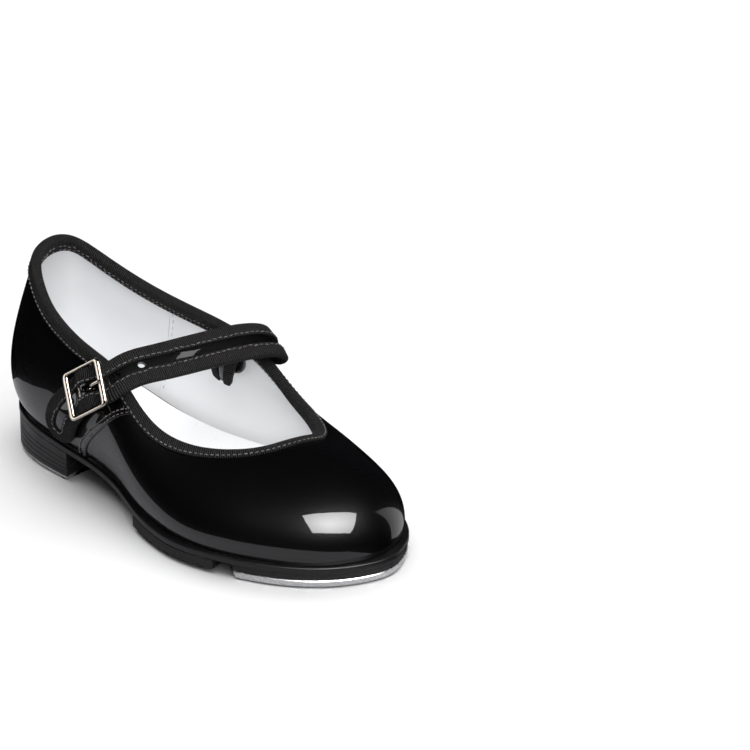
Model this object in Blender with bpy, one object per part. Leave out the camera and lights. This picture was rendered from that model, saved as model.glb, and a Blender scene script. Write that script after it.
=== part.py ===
"""Child's buckle-strap tap shoe, right foot.

Toe towards +X, outer (lateral) side towards -Y, standing on its two taps at z = 0.
Lengths in this file are millimetres; meshes are scaled to metres when they are made.
Run with: blender --background --python part.py
"""
import math

import bmesh
import bpy
import numpy as np
from mathutils import Matrix, Vector

MM = 0.001
GAP = 0.3                      # air between neighbouring pieces

# ---------------------------------------------------------------- driving sizes
HALF_LENGTH = 84.5
HEEL_TAP = 1.8                 # tap thicknesses
TOE_TAP = 2.8
BOARD = 1.9                    # black board between toe tap and outsole
SOLE = 2.4                     # outsole thickness
FOREPART_Z = TOE_TAP + GAP + BOARD + GAP     # underside of the outsole under the ball
PATCH_Z = 1.8                  # underside of the rubber grip patch
BREAST_X = -43.0               # front face of the heel block
LEATHER = 1.1                  # thicknesses of the upper's layers
STIFFENER = 0.8
LINING = 0.7
LINING_GAP = 0.45              # air between leather and lining
STRAP_HALF_WIDTH = 7.0
SCREW_HEAD_R = 2.1
SCREW_SHANK_R = 0.9
TO_CENTRE = Vector((0.158, 3.006, 0))    # puts the bounding box's centre over the origin

# Outsole outline, from the back of the heel along the outer side to the toe and back.
OUTLINE = [(-84.5, 0), (-81, -11.5), (-74, -19.5), (-62, -24.5), (-46, -26.3), (-30, -27),
           (-14, -30), (0, -35.5), (14, -39.5), (28, -40.5), (44, -37), (60, -30.5),
           (72, -22), (80, -12), (84.5, 0), (82.5, 10), (75, 20.5), (61, 29), (44, 34),
           (24, 34), (4, 29.5), (-14, 24.5), (-30, 22.5), (-46, 23.5), (-62, 23.5),
           (-74, 18.5), (-81, 10.5)]

# Underside height of the outsole along x.
SOLE_PROFILE = [(-90, 15.6), (-84, 15.0), (-43, 11.1), (-25, 9.3), (-8, 7.0), (8, 5.7),
                (20, FOREPART_Z), (90, FOREPART_Z)]

# The upper's outside: one station per outline point, walked the same way round.
# foot x, y | lower handle dx, dy, dz | topline x, y, z | upper handle dx, dy, dz
STATIONS = [
    (-83.0, 0, -5, 0, 16, -77, 0, 72.5, -3.5, 0, -18),
    (-79.6, -11, -5, -5, 16, -73.5, -10.5, 70.8, -3.5, -4, -18),
    (-73, -18.3, -4, -8, 15, -66, -16.5, 65.6, -2.5, -5, -16),
    (-62, -23, -1, -8, 14, -55, -20.5, 59, -1, -5, -14),
    (-46, -24.8, 0, -7, 13, -39, -23.5, 54.3, 0, -5, -13),
    (-30, -25.3, 0, -7, 12, -25, -25, 52, 0, -5, -12),
    (-14, -28, 0, -7, 11, -14.5, -26, 48.5, 0, -6, -10),
    (0, -33.2, 0, -6, 11, -6, -26, 41, 0, -6, -8),
    (14, -37, 1, -6, 11, 4, -25, 35, 2, -7, -6),
    (29, -38.3, 2, -6, 11, 16, -21.5, 32.5, 6, -9, -4),
    (45, -35, 4, -6, 12, 27, -15, 32.5, 12, -10, -2),
    (60, -28.5, 5, -5, 14, 34, -7.5, 33.3, 18, -8, 0),
    (72, -19.8, 4.5, -4, 17, 37.5, -1, 34.3, 24, -5, 0.5),
    (79.5, -8, 3.5, -2, 18.5, 39, 4.5, 34.3, 27, -2, 0.5),
    (81.5, 3, 2, 0, 18.5, 39, 8, 33.6, 27, 1, -0.5),
    (78.5, 13, 1.5, 1, 17, 38.5, 11.5, 32.6, 25, 2, -1.5),
    (71, 21.8, 1.5, 2, 14, 36, 16, 31.3, 20, 5, -3),
    (58, 28.6, 2, 3, 12, 31, 20.5, 31, 12, 7, -5),
    (42, 31.8, 2, 4, 12, 24, 23.5, 32.5, 6, 7, -5),
    (24, 32, 1, 5, 12, 14, 25.5, 37, 2, 6, -7),
    (4, 27.5, 0, 5, 13, 2, 26.5, 44.5, 0, 5, -9),
    (-14, 22.8, 0, 5, 15, -11, 25, 50.5, 0, 4, -11),
    (-30, 21, 0, 5, 15, -26, 23.5, 53, 0, 4, -13),
    (-46, 22, 0, 5, 15, -42, 22, 55, 0, 4, -14),
    (-62, 22, -1, 6, 15, -57, 19.5, 58.8, -1, 4, -15),
    (-73, 17.3, -3, 6, 15, -68.5, 15, 65, -2, 4, -15),
    (-79.6, 10.2, -5, 4, 16, -75, 9, 70.6, -3.5, 3, -17)]

# The strap's middle layer: its tail on the outer quarter as (station, v, height over the wall),
# its run through the buckle as (along, height) in the buckle's frame, then points and normals
# over the instep to the hinge at the inner topline.
TAIL_PATH = [(4.12, 0.14, 1.9), (4.25, 0.29, 1.9), (4.38, 0.44, 2.2)]
BUCKLE_RUN = [(-9.6, -2.5), (-4.8, -0.75), (0.0, 0.55), (4.8, -0.7), (9.6, -2.75)]
INSTEP_PATH = [(-12.4, -23.0, 52.3), (-8.9, -14, 53.1), (-5.6, -4.5, 53.4),
               (-3.0, 5, 53.2), (-0.6, 14, 52.6), (1.4, 22, 51.3), (3.0, 28.8, 49.0)]
INSTEP_NORMALS = [(0.36, -0.42, 0.82), (0.48, -0.22, 0.84), (0.54, -0.12, 0.83),
                  (0.54, -0.04, 0.83), (0.54, 0.05, 0.83), (0.5, 0.25, 0.8), (0.42, 0.6, 0.64)]

BUCKLE_CENTRE = Vector((-24.3, -33.3, 44.3))
BUCKLE_ALONG = Vector((0.814, 0.008, 0.585))
BUCKLE_OUT = Vector((-0.164, -0.955, 0.241))

# The eyelet's place on the inner quarter, and the strap's fixed end in the eyelet's frame:
# (along, down, out) points and face normals, out over the topline, in through the hole and up.
EYELET_T, EYELET_V = 21.2, 0.77
LOOP_PATH = [(8.0, -9.4, 4.2), (6.0, -6.0, 6.3), (3.6, -2.6, 5.8), (1.7, -0.2, 2.9),
             (1.0, 0.3, -0.9), (0.9, 0.2, -4.7), (0.9, -1.6, -7.7), (1.2, -5.0, -8.7),
             (2.0, -9.0, -8.1)]
LOOP_NORMALS = [(0, -0.3, 0.95), (0, 0, 1), (0, 0.4, 0.9), (0, 0.9, 0.45), (0, 1, 0),
                (0, 1, -0.1), (0, 0.6, -0.8), (0, 0.05, -1), (0, 0, -1)]
LOOP_HALF_WIDTHS = [6.8, 6.2, 5.2, 4.5, 4.3, 4.4, 4.8, 5.4, 5.8]


# ---------------------------------------------------------------- curves and frames
def unit(vectors):
    """Scale vectors to length one along the last axis."""
    vectors = np.asarray(vectors, float)
    return vectors / np.linalg.norm(vectors, axis=-1, keepdims=True)


def spline(points, where, closed=False):
    """Cubic spline with one unit of the parameter from each point to the next."""
    points = np.asarray(points, float)
    n = len(points)
    step = np.eye(n)
    if closed:
        nxt, prev = np.roll(step, 1, axis=1), np.roll(step, -1, axis=1)
        bend = np.linalg.solve(4 * step + nxt + prev, 6 * (nxt - 2 * step + prev) @ points)
        where = np.mod(where, n)
    else:
        matrix, right = np.eye(n), np.zeros_like(points)
        for i in range(1, n - 1):
            matrix[i, i - 1:i + 2] = (1, 4, 1)
            right[i] = 6 * (points[i + 1] - 2 * points[i] + points[i - 1])
        bend = np.linalg.solve(matrix, right)
    where = np.asarray(where, float)
    a = np.floor(where).astype(int)
    if not closed:
        a = np.clip(a, 0, n - 2)
    f = (where - a)[..., None]
    b = (a + 1) % n
    g = 1 - f
    return g * points[a] + f * points[b] + ((g**3 - g) * bend[a] + (f**3 - f) * bend[b]) / 6


def sole_z(x):
    """Height of the outsole's underside at x."""
    xs, zs = zip(*SOLE_PROFILE)
    fine = np.linspace(xs[0], xs[-1], 361)
    level = np.interp(fine, xs, zs)
    window = np.ones(21) / 21
    padded = np.pad(level, 10, mode="edge")
    return np.interp(x, fine, np.convolve(padded, window, mode="valid"))


def outline(inset, samples=1080):
    """The sole's outline moved inwards by inset, as points in order round the sole."""
    where = np.linspace(0, len(OUTLINE), samples, endpoint=False)
    line = spline(OUTLINE, where, closed=True)
    along = unit(np.roll(line, -1, axis=0) - np.roll(line, 1, axis=0))
    inward = np.stack([-along[:, 1], along[:, 0]], axis=1)
    return line + inset * inward


def sides(x, inset):
    """Outer and inner y of the inset outline at x."""
    line = outline(inset)
    toe, heel = int(np.argmax(line[:, 0])), int(np.argmin(line[:, 0]))
    line = np.roll(line, -heel, axis=0)
    toe = (toe - heel) % len(line)
    outer, inner = line[:toe + 1], line[toe:][::-1]
    return np.interp(x, outer[:, 0], outer[:, 1]), np.interp(x, inner[:, 0], inner[:, 1])


def upper_surface(t, v, depth=0.0):
    """Points of the upper, depth mm under its outside; t is the station, v runs foot to topline."""
    def outside(t, v):
        row = spline(STATIONS, t, closed=True)
        foot = np.concatenate([row[..., 0:2], sole_z(row[..., 0])[..., None] + SOLE + GAP], -1)
        low, top, high = row[..., 2:5], row[..., 5:8], row[..., 8:11]
        w = v[..., None]
        return ((1 - w)**3 * foot + 3 * (1 - w)**2 * w * (foot + low)
                + 3 * (1 - w) * w**2 * (top + high) + w**3 * top)
    t, v = np.broadcast_arrays(np.asarray(t, float), np.asarray(v, float))
    small = 1e-3
    across = outside(t + small, v) - outside(t - small, v)
    upward = outside(t, v + small) - outside(t, v - small)
    return outside(t, v) - depth[..., None] * outward(across, upward) if np.ndim(depth) \
        else outside(t, v) - depth * outward(across, upward)


def outward(across, upward):
    """Outside normal from the two tangents of the upper."""
    return unit(np.cross(across, upward))


def eyelet_frame():
    """Eyelet centre on the wall, its long axis along the topline, and the wall's normal."""
    centre = upper_surface(EYELET_T, EYELET_V)
    out = unit(upper_surface(EYELET_T, EYELET_V, -1.0) - centre)
    along = upper_surface(EYELET_T - 0.5, EYELET_V) - upper_surface(EYELET_T + 0.5, EYELET_V)
    return axes_matrix(Vector(centre), Vector(along), Vector(out))


def in_frame(frame, points):
    """Millimetre points of a metre frame's local millimetre points."""
    frame = np.array(frame)
    return np.asarray(points, float) @ frame[:3, :3].T + frame[:3, 3] / MM


def strap_line():
    """Points and normals of the strap's middle layer, from the tail tip to the hinge."""
    tail = [upper_surface(t, v, -height) for t, v, height in TAIL_PATH]
    tail_normals = [unit(upper_surface(t, v, -1.0) - upper_surface(t, v)) for t, v, _ in TAIL_PATH]
    buckle = axes_matrix(BUCKLE_CENTRE, BUCKLE_ALONG, BUCKLE_OUT)
    run = in_frame(buckle, [(a, 0, h) for a, h in BUCKLE_RUN])
    out = np.array(buckle)[:3, 2]
    path = np.concatenate([tail, run, INSTEP_PATH])
    return path, np.concatenate([tail_normals, [out] * len(run), INSTEP_NORMALS])


def ribbon_frames(path, normals, where):
    """Centre, width direction and face normal along a ribbon."""
    centre = spline(path, where)
    ahead = unit(spline(path, where + 1e-3) - spline(path, where - 1e-3))
    normal = spline(normals, where)
    normal = unit(normal - (normal * ahead).sum(-1, keepdims=True) * ahead)
    return centre, np.cross(ahead, normal), normal


# ---------------------------------------------------------------- meshes and objects
def material(name, colour, roughness, metallic=0.0):
    shader = bpy.data.materials.new(name)
    shader.use_nodes = True
    inputs = shader.node_tree.nodes["Principled BSDF"].inputs
    inputs["Base Color"].default_value = (*colour, 1)
    inputs["Roughness"].default_value = roughness
    inputs["Metallic"].default_value = metallic
    shader.diffuse_color = (*colour, 1)
    return shader


def add_object(name, points, faces, finish, smooth=True):
    """A closed mesh object from millimetre points; faces are turned to point outwards."""
    mesh = bpy.data.meshes.new(name)
    mesh.from_pydata([tuple(float(c) * MM for c in p) for p in points], [], faces)
    bm = bmesh.new()
    bm.from_mesh(mesh)
    bmesh.ops.triangulate(bm, faces=bm.faces)
    bmesh.ops.recalc_face_normals(bm, faces=bm.faces)
    bm.to_mesh(mesh)
    bm.free()
    if smooth:
        mesh.shade_smooth()
        mesh.set_sharp_from_angle(angle=math.radians(40))
    mesh.materials.append(finish)
    piece = bpy.data.objects.new(name, mesh)
    bpy.context.collection.objects.link(piece)
    return piece


def two_sheets(first, second):
    """Points and faces of the closed solid between two equal grids of points."""
    rows, columns = first.shape[:2]
    points = np.concatenate([first.reshape(-1, 3), second.reshape(-1, 3)])
    shift = rows * columns

    def at(i, j):
        return i * columns + j
    faces = []
    for i in range(rows - 1):
        for j in range(columns - 1):
            quad = (at(i, j), at(i, j + 1), at(i + 1, j + 1), at(i + 1, j))
            faces += [quad, tuple(k + shift for k in reversed(quad))]
    rim = [at(0, j) for j in range(columns)] + [at(i, columns - 1) for i in range(1, rows)]
    rim += [at(rows - 1, j) for j in range(columns - 2, -1, -1)]
    rim += [at(i, 0) for i in range(rows - 2, 0, -1)]
    for a, b in zip(rim, rim[1:] + rim[:1]):
        faces.append((b, a, a + shift, b + shift))
    return points, faces


def swept(sections, closed=False):
    """Points and faces of a tube through equal rings of points, capped unless closed."""
    count, ring = sections.shape[:2]
    faces = []
    for i in range(count if closed else count - 1):
        for j in range(ring):
            a, b = i * ring + j, i * ring + (j + 1) % ring
            c, d = ((i + 1) % count) * ring + (j + 1) % ring, ((i + 1) % count) * ring + j
            faces.append((a, b, c, d))
    if not closed:
        faces += [tuple(range(ring)), tuple(range((count - 1) * ring, count * ring))]
    return sections.reshape(-1, 3), faces


def wall(name, finish, start, end, v_range, depths, columns, rows):
    """A layer of the upper between two seam lines, each a function of v giving t."""
    v = np.linspace(*v_range, rows + 1)[:, None]
    u = np.linspace(0, 1, columns + 1)[None, :]
    t = start(v) + (end(v) - start(v)) * u
    sheets = [upper_surface(t, v, depth(np.broadcast_to(v, t.shape))) for depth in depths]
    return add_object(name, *two_sheets(*sheets), finish)


def slab(name, finish, rear, front, inset, low, high, along, across):
    """A piece of the sole's outline; rear and front give x over w = -1 (outer) to 1 (inner)."""
    w = np.linspace(-1, 1, across + 1)[None, :]
    u = (1 - np.cos(np.linspace(0, math.pi, along + 1)))[:, None] / 2
    x = rear(w) + (front(w) - rear(w)) * u
    outer, inner = sides(x, inset)
    y = outer + (inner - outer) * (w + 1) / 2
    bottom, top = (np.stack([x, y, np.broadcast_to(z(x), x.shape)], -1) for z in (low, high))
    return add_object(name, *two_sheets(bottom, top), finish)


def constant(value):
    return lambda x: np.full(np.shape(x), float(value))


def cutter(piece):
    """Hide a helper mesh that only cuts other pieces."""
    piece.hide_render = True
    piece.display_type = "WIRE"
    return piece


def cut(piece, *tools):
    for tool in tools:
        change = piece.modifiers.new("cut by " + tool.name, "BOOLEAN")
        change.operation = "DIFFERENCE"
        change.object = tool
        change.solver = "EXACT"


def turned(profile, sides_count=16):
    """Rings of points for a profile of (radius, z), to be swept along z."""
    angles = np.linspace(0, 2 * math.pi, sides_count, endpoint=False)
    return np.array([[(r * math.cos(a), r * math.sin(a), z) for a in angles] for r, z in profile])


def axes_matrix(origin, x_axis, z_axis):
    """World matrix in metres of a local frame given in millimetres."""
    z = z_axis.normalized()
    x = (x_axis - x_axis.dot(z) * z).normalized()
    y = z.cross(x)
    turn = Matrix((x, y, z)).transposed().to_4x4()
    return Matrix.Translation(origin * MM) @ turn


# ---------------------------------------------------------------- sole unit
def sole_top(x):
    return sole_z(x) + SOLE


def tap_rear(w):
    return 41.0 + 3.0 * w**2 + 4.5 * np.abs(w)**9


def heel_front(w):
    return BREAST_X - 1.6 * (1 - w**2)


def make_screw(name, x, y, tip_z, finish, holed):
    """A countersunk tap screw driven upwards, and the clearance it needs in holed pieces."""
    head = 0.35
    profile = [(SCREW_HEAD_R * 0.9, head), (SCREW_HEAD_R, head + 0.25), (SCREW_HEAD_R, head + 0.5),
               (SCREW_SHANK_R, head + 1.7), (SCREW_SHANK_R, tip_z - 1.2), (0.3, tip_z)]
    room = GAP
    hole = [(SCREW_HEAD_R + room, -1.0), (SCREW_HEAD_R + room, head + 0.5 + room * 0.4),
            (SCREW_SHANK_R + room, head + 1.7 + room * 0.4), (SCREW_SHANK_R + room, tip_z + room)]
    screw = add_object(name, *swept(turned(profile, 12)), finish)
    tool = cutter(add_object(name + "_hole", *swept(turned(hole, 12)), finish))
    for piece in (screw, tool):
        piece.location = Vector((x, y, 0)) * MM
    for piece in holed:
        cut(piece, tool)
    return screw


def make_sole(looks):
    length = HALF_LENGTH - 0.15
    rear, front = constant(-length), constant(length)
    outsole = slab("outsole", looks["sole"], rear, front, 0, sole_z, sole_top, 34, 4)
    slab("sole_patch", looks["rubber"], lambda w: -3.0 + 2.5 * w**2,
         lambda w: 37.0 + 3.5 * w**2, 0.1, constant(PATCH_Z), lambda x: sole_z(x) - GAP, 12, 8)
    block = slab("heel_block", looks["heel"], rear, heel_front, 0.2, constant(HEEL_TAP + GAP),
                 lambda x: sole_z(x) - GAP, 16, 8)
    heel_tap = slab("heel_tap", looks["aluminium"], constant(-length + 0.9),
                    lambda w: BREAST_X - 0.6 - 3.2 * (1 - w**2), 0.9, constant(0),
                    constant(HEEL_TAP), 16, 10)
    board = slab("toe_tap_board", looks["board"], lambda w: tap_rear(w) - 1.0,
                 constant(length - 0.8), 0.8, constant(TOE_TAP + GAP),
                 constant(TOE_TAP + GAP + BOARD), 14, 8)
    toe_tap = slab("toe_tap", looks["aluminium"], tap_rear, constant(length - 0.5), 0.5,
                   constant(0), constant(TOE_TAP), 16, 10)
    for number, (x, y) in enumerate([(50, -26), (50, 24), (75.5, 1.5)], 1):
        make_screw(f"toe_tap_screw_{number}", x, y, 6.9, looks["nickel"],
                   [toe_tap, board, outsole])
    for number, (x, y) in enumerate([(-50, -17.5), (-50, 15), (-77.5, -0.5)], 1):
        make_screw(f"heel_tap_screw_{number}", x, y, 9.0, looks["nickel"], [heel_tap, block])
    shank = np.linspace(-52, 8, 13)
    low = np.array([[(x, y, sole_top(x) + GAP) for y in (-6, 6)] for x in shank])
    high = low + np.array([0, 0, 1.0])
    add_object("shank", *two_sheets(low, high), looks["steel"])


def make_insole(looks):
    base = GAP + 1.0 + GAP                        # clear of the shank
    length = HALF_LENGTH - 6.4
    slab("insole_board", looks["insole"], constant(-length), constant(length), 6.7,
         lambda x: sole_top(x) + base, lambda x: sole_top(x) + base + 1.5, 24, 2)
    slab("insole_sock", looks["sock"], constant(1 - length), constant(length - 1), 7.2,
         lambda x: sole_top(x) + base + 1.5 + GAP, lambda x: sole_top(x) + base + 3.6, 24, 4)


# ---------------------------------------------------------------- upper
def lateral_seam(v):
    """Station of the seam between vamp and outer quarter."""
    return 4.85 + 2.45 * v**1.6


def medial_seam(v):
    return len(STATIONS) - 4.95 - 2.5 * v


def lining_depth(v):
    """The lining steps outwards above the stiffeners."""
    step = np.clip((v - 0.66) / 0.2, 0, 1)
    ease = step * step * (3 - 2 * step)
    return LEATHER + LINING_GAP + (STIFFENER + GAP) * (1 - ease)


def seam_shift(seam, shift):
    return lambda v: seam(v) + shift


def make_upper(looks):
    stations = len(STATIONS)
    skin = (constant(0), constant(LEATHER))
    half_seam = 0.02                              # in stations, about 0.2 mm
    wall("vamp", looks["patent"], seam_shift(lateral_seam, half_seam),
         seam_shift(medial_seam, -half_seam), (0, 1), skin, 44, 8)
    lateral = wall("lateral_quarter", looks["patent"], constant(half_seam),
                   seam_shift(lateral_seam, -half_seam), (0, 1), skin, 16, 8)
    medial = wall("medial_quarter", looks["patent"], seam_shift(medial_seam, half_seam),
                  constant(stations - half_seam), (0, 1), skin, 16, 8)
    lining = (lining_depth, lambda v: lining_depth(v) + LINING)
    side_seam = 4.1
    vamp_lining = wall("vamp_lining", looks["lining"], constant(side_seam + half_seam),
                       constant(stations - side_seam - half_seam), (0.03, 1), lining, 38, 9)
    wall("quarter_lining", looks["lining"], constant(-side_seam + half_seam),
         constant(side_seam - half_seam), (0.03, 1), lining, 20, 9)
    middle = (constant(LEATHER + LINING_GAP), constant(LEATHER + LINING_GAP + 0.6))
    wall("heel_counter", looks["board"], constant(-4.8), constant(4.8), (0.03, 0.58), middle, 20, 4)
    wall("toe_puff", looks["board"], constant(10), constant(18), (0.03, 0.5), middle, 24, 4)
    return lateral, medial, vamp_lining


def binding_section(t):
    """Ring of points of the folded binding round the topline at station t."""
    outer_leg, inner_leg, cloth = 3.4, 4.0, 0.5
    inside = LEATHER + LINING_GAP + LINING
    slope = np.linalg.norm(upper_surface(t, 1.0) - upper_surface(t, 0.95)) / 0.05

    def at(drop, depth):
        if drop >= 0:
            return upper_surface(t, 1 - drop / slope, depth)
        top = upper_surface(t, 1.0, depth)
        return top - drop * unit(top - upper_surface(t, 0.97, depth))
    ring = [(outer_leg, -GAP - cloth), (1.6, -GAP - cloth), (0, -GAP - cloth),
            (-GAP - cloth, 0.1), (-GAP - cloth, inside - 0.1), (0, inside + GAP + cloth),
            (2, inside + GAP + cloth), (inner_leg, inside + GAP + cloth),
            (inner_leg, inside + GAP), (2, inside + GAP), (-GAP, inside + GAP * 0.7),
            (-GAP, -GAP * 0.7), (1.6, -GAP), (outer_leg, -GAP)]
    return [at(drop, depth) for drop, depth in ring]


def make_binding(looks):
    count = 64
    stations = np.linspace(0, len(STATIONS), count, endpoint=False)
    rings = np.array([binding_section(t) for t in stations])
    add_object("topline_binding", *swept(rings, closed=True), looks["grosgrain"])


# ---------------------------------------------------------------- eyelet
def oval(half_length, half_width, count=32):
    """Centre line of a stadium-shaped oval in its own plane."""
    straight = half_length - half_width
    points = []
    for k in range(count):
        a = 2 * math.pi * k / count
        shift = straight if math.cos(a) > 0 else -straight
        points.append((half_width * math.cos(a) + shift, half_width * math.sin(a)))
    return points


def oval_ring(name, finish, radii, profile):
    """A ring swept round an oval: profile is (outward, height) about the centre line."""
    line = np.array(oval(*radii))
    along = unit(np.roll(line, -1, axis=0) - np.roll(line, 1, axis=0))
    out = np.stack([along[:, 1], -along[:, 0]], 1)
    rings = np.array([[(*(p + r * n), h) for r, h in profile] for p, n in zip(line, out)])
    piece = add_object(name, *swept(rings, closed=True), finish)
    piece.matrix_world = eyelet_frame()
    return piece


def make_eyelet(looks, holed):
    """Oval eyelet: a round outer ring with a barrel through the wall, and a washer inside."""
    hole = (8.0, 4.2)
    bead = [(1.4 * math.cos(a), 1.9 + 1.3 * math.sin(a))
            for a in np.radians([200, 150, 110, 70, 30, -10, -35])]
    barrel = [(-0.9, 0.3), (-0.9, -5.7), (-1.4, -5.7)]
    oval_ring("eyelet_ring", looks["enamel"], hole, bead + barrel)
    oval_ring("eyelet_washer", looks["enamel"], hole,
              [(-0.6, -5.0), (1.6, -5.0), (1.6, -5.5), (-0.6, -5.5)])
    line = oval(hole[0] - 0.4, hole[1] - 0.4)
    ends = np.array([[(x, y, h) for x, y in line] for h in (-8.0, 5.0)])
    tool = cutter(add_object("eyelet_hole", *swept(ends), looks["enamel"]))
    tool.matrix_world = eyelet_frame()
    for piece in holed:
        cut(piece, tool)


# ---------------------------------------------------------------- strap
STRAP_TIP_R = STRAP_HALF_WIDTH - 0.7
CORE_HALF = 0.45


def strap_lengths(count=400):
    """Arc length along the strap, as a table from path parameter to millimetres."""
    path = strap_line()[0]
    where = np.linspace(0, len(path) - 1, count)
    line = spline(path, where)
    steps = np.linalg.norm(np.diff(line, axis=0), axis=1)
    return where, np.concatenate([[0], np.cumsum(steps)])


def strap_point(s, w, h):
    """Point of the strap at length s, distance w across and h over its middle layer."""
    where, lengths = strap_lengths()
    path, normals = strap_line()
    centre, across, normal = ribbon_frames(path, normals, np.interp(s, lengths, where))
    return centre + np.asarray(w)[..., None] * across + np.asarray(h)[..., None] * normal


def make_strap(looks):
    total = strap_lengths()[1][-1]
    s = np.concatenate([STRAP_TIP_R * (1 - np.cos(np.linspace(0.25, math.pi / 2, 6))),
                        np.linspace(STRAP_TIP_R, total, 34)[1:]])[:, None]
    half = np.where(s < STRAP_TIP_R, np.sqrt(np.maximum(STRAP_TIP_R**2 - (STRAP_TIP_R - s)**2, 0)),
                    STRAP_TIP_R)
    across = np.linspace(-1, 1, 4)[None, :]
    w = half * across
    s = np.broadcast_to(s, w.shape)
    sheets = [strap_point(s, w, np.full(w.shape, h)) for h in (-CORE_HALF, CORE_HALF)]
    strap = add_object("instep_strap", *two_sheets(*sheets), looks["patent"])
    for number, place in enumerate(strap_holes()):
        length, radius = (1.5, 1.0) if number else (2.1, 1.0)
        line = oval(length, radius, 12)
        ends = np.array([[strap_point(place + a, b, h) for a, b in line] for h in (-2.0, 2.0)])
        cut(strap, cutter(add_object(f"strap_hole_{number}", *swept(ends), looks["patent"])))
    make_strap_binding(looks, total)


def strap_holes():
    """Lengths along the strap of its punched holes; the first is the one in use."""
    where, lengths = strap_lengths()
    over_bar = np.interp(len(TAIL_PATH) + 2, where, lengths)
    in_use = over_bar + 4.7
    return [in_use] + [in_use + 9.0 * k for k in (-2, 1, 2)]


def make_strap_binding(looks, total):
    cloth = 0.4
    inner, outer = CORE_HALF + GAP, CORE_HALF + GAP + cloth
    leg = -3.2
    section = [(leg, outer), (0.45, outer), (0.7, outer * 0.7), (0.7, -outer * 0.7),
               (0.45, -outer), (leg, -outer), (leg, -inner), (0.3, -inner), (0.3, inner),
               (leg, inner)]
    straight = np.linspace(total, STRAP_TIP_R, 34)[:-1]
    rings = []
    for s in straight:
        rings.append([strap_point(s, -STRAP_TIP_R - r, h) for r, h in section])
    for a in np.linspace(-math.pi / 2, math.pi / 2, 13):
        rings.append([strap_point(STRAP_TIP_R - (STRAP_TIP_R + r) * math.cos(a),
                                  (STRAP_TIP_R + r) * math.sin(a), h) for r, h in section])
    for s in straight[::-1]:
        rings.append([strap_point(s, STRAP_TIP_R + r, h) for r, h in section])
    add_object("strap_binding", *swept(np.array(rings)), looks["grosgrain"])


def make_loop(looks):
    """The strap's sewn end, a closed ribbon through the eyelet and back up inside."""
    where = np.linspace(0, len(LOOP_PATH) - 1, 29)
    frame = eyelet_frame()
    path, normals = in_frame(frame, LOOP_PATH), LOOP_NORMALS @ np.array(frame)[:3, :3].T
    centre, across, normal = ribbon_frames(path, normals, where)
    half = spline(np.array(LOOP_HALF_WIDTHS)[:, None], where)
    thick = 0.9
    shape = [(-1, -0.5), (-0.9, -1), (0, -1), (0.9, -1), (1, -0.5),
             (1, 0.5), (0.9, 1), (0, 1), (-0.9, 1), (-1, 0.5)]
    rings = np.array([[c + a * h * w + n * thick * z for w, z in shape]
                      for c, a, n, h in zip(centre, across, normal, half[:, 0])])
    add_object("strap_anchor_loop", *swept(rings), looks["patent"])


# ---------------------------------------------------------------- buckle
BAR_H = -2.4                    # height of the centre bar under the frame's middle plane
BAR_R = 0.6


def rounded_rectangle(half_x, half_y, corner, per_corner=4):
    points = []
    for cx, cy, start in ((1, 1, 0), (-1, 1, 90), (-1, -1, 180), (1, -1, 270)):
        for k in range(per_corner + 1):
            a = math.radians(start + 90 * k / per_corner)
            points.append((cx * (half_x - corner) + corner * math.cos(a),
                           cy * (half_y - corner) + corner * math.sin(a)))
    return points


def make_buckle(looks):
    """Frame with its centre bar, the prong on the bar, and the tab that holds the bar."""
    place = axes_matrix(BUCKLE_CENTRE, BUCKLE_ALONG, BUCKLE_OUT)
    pivot = place @ Matrix.Translation(Vector((0, 0, BAR_H)) * MM)
    outer = rounded_rectangle(11.0, 7.9 + 0.5, 1.6)
    inner = rounded_rectangle(8.7, 7.9 - 0.7, 0.8)
    lift = -BAR_H
    edges = [(outer, -0.45), (outer, 0.4), (inner, 0.75), (inner, -0.6)]
    rings = np.array([[(*ring[k], lift + h) for ring, h in edges] for k in range(len(outer))])
    frame = add_object("buckle_frame", *swept(rings, closed=True), looks["nickel"])
    frame.matrix_world = pivot
    angles = np.linspace(0, 2 * math.pi, 12, endpoint=False)
    bar_path = [(-7.65, lift), (-6.4, 0.0), (6.4, 0.0), (7.65, lift)]
    bar = np.array([[(BAR_R * math.cos(a), y, z + BAR_R * math.sin(a)) for a in angles]
                    for y, z in bar_path])
    joined = cutter(add_object("buckle_bar", *swept(bar), looks["nickel"]))
    joined.matrix_world = pivot
    union = frame.modifiers.new("bar", "BOOLEAN")
    union.operation = "UNION"
    union.object = joined
    union.solver = "EXACT"
    make_prong(looks, pivot)
    make_tab(looks, pivot)


def make_prong(looks, pivot):
    wire = 0.45
    eye = BAR_R + GAP + wire
    path = [(eye * math.cos(a), eye * math.sin(a)) for a in np.radians(np.arange(330, 29, -30))]
    path += [(2.3, 0.75), (3.4, 1.15), (4.4, 2.3), (5.4, 3.6), (7.3, 3.85), (9.4, 3.85),
             (11.2, 3.7)]
    path = np.array(path)
    ahead = unit(np.gradient(path, axis=0))
    angles = np.linspace(0, 2 * math.pi, 8, endpoint=False)
    rings = []
    for (x, z), (dx, dz) in zip(path, ahead):
        rings.append([(x - dz * wire * math.cos(a), wire * 1.3 * math.sin(a),
                       z + dx * wire * math.cos(a)) for a in angles])
    prong = add_object("buckle_prong", *swept(np.array(rings)), looks["nickel"])
    prong.matrix_world = pivot


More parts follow.
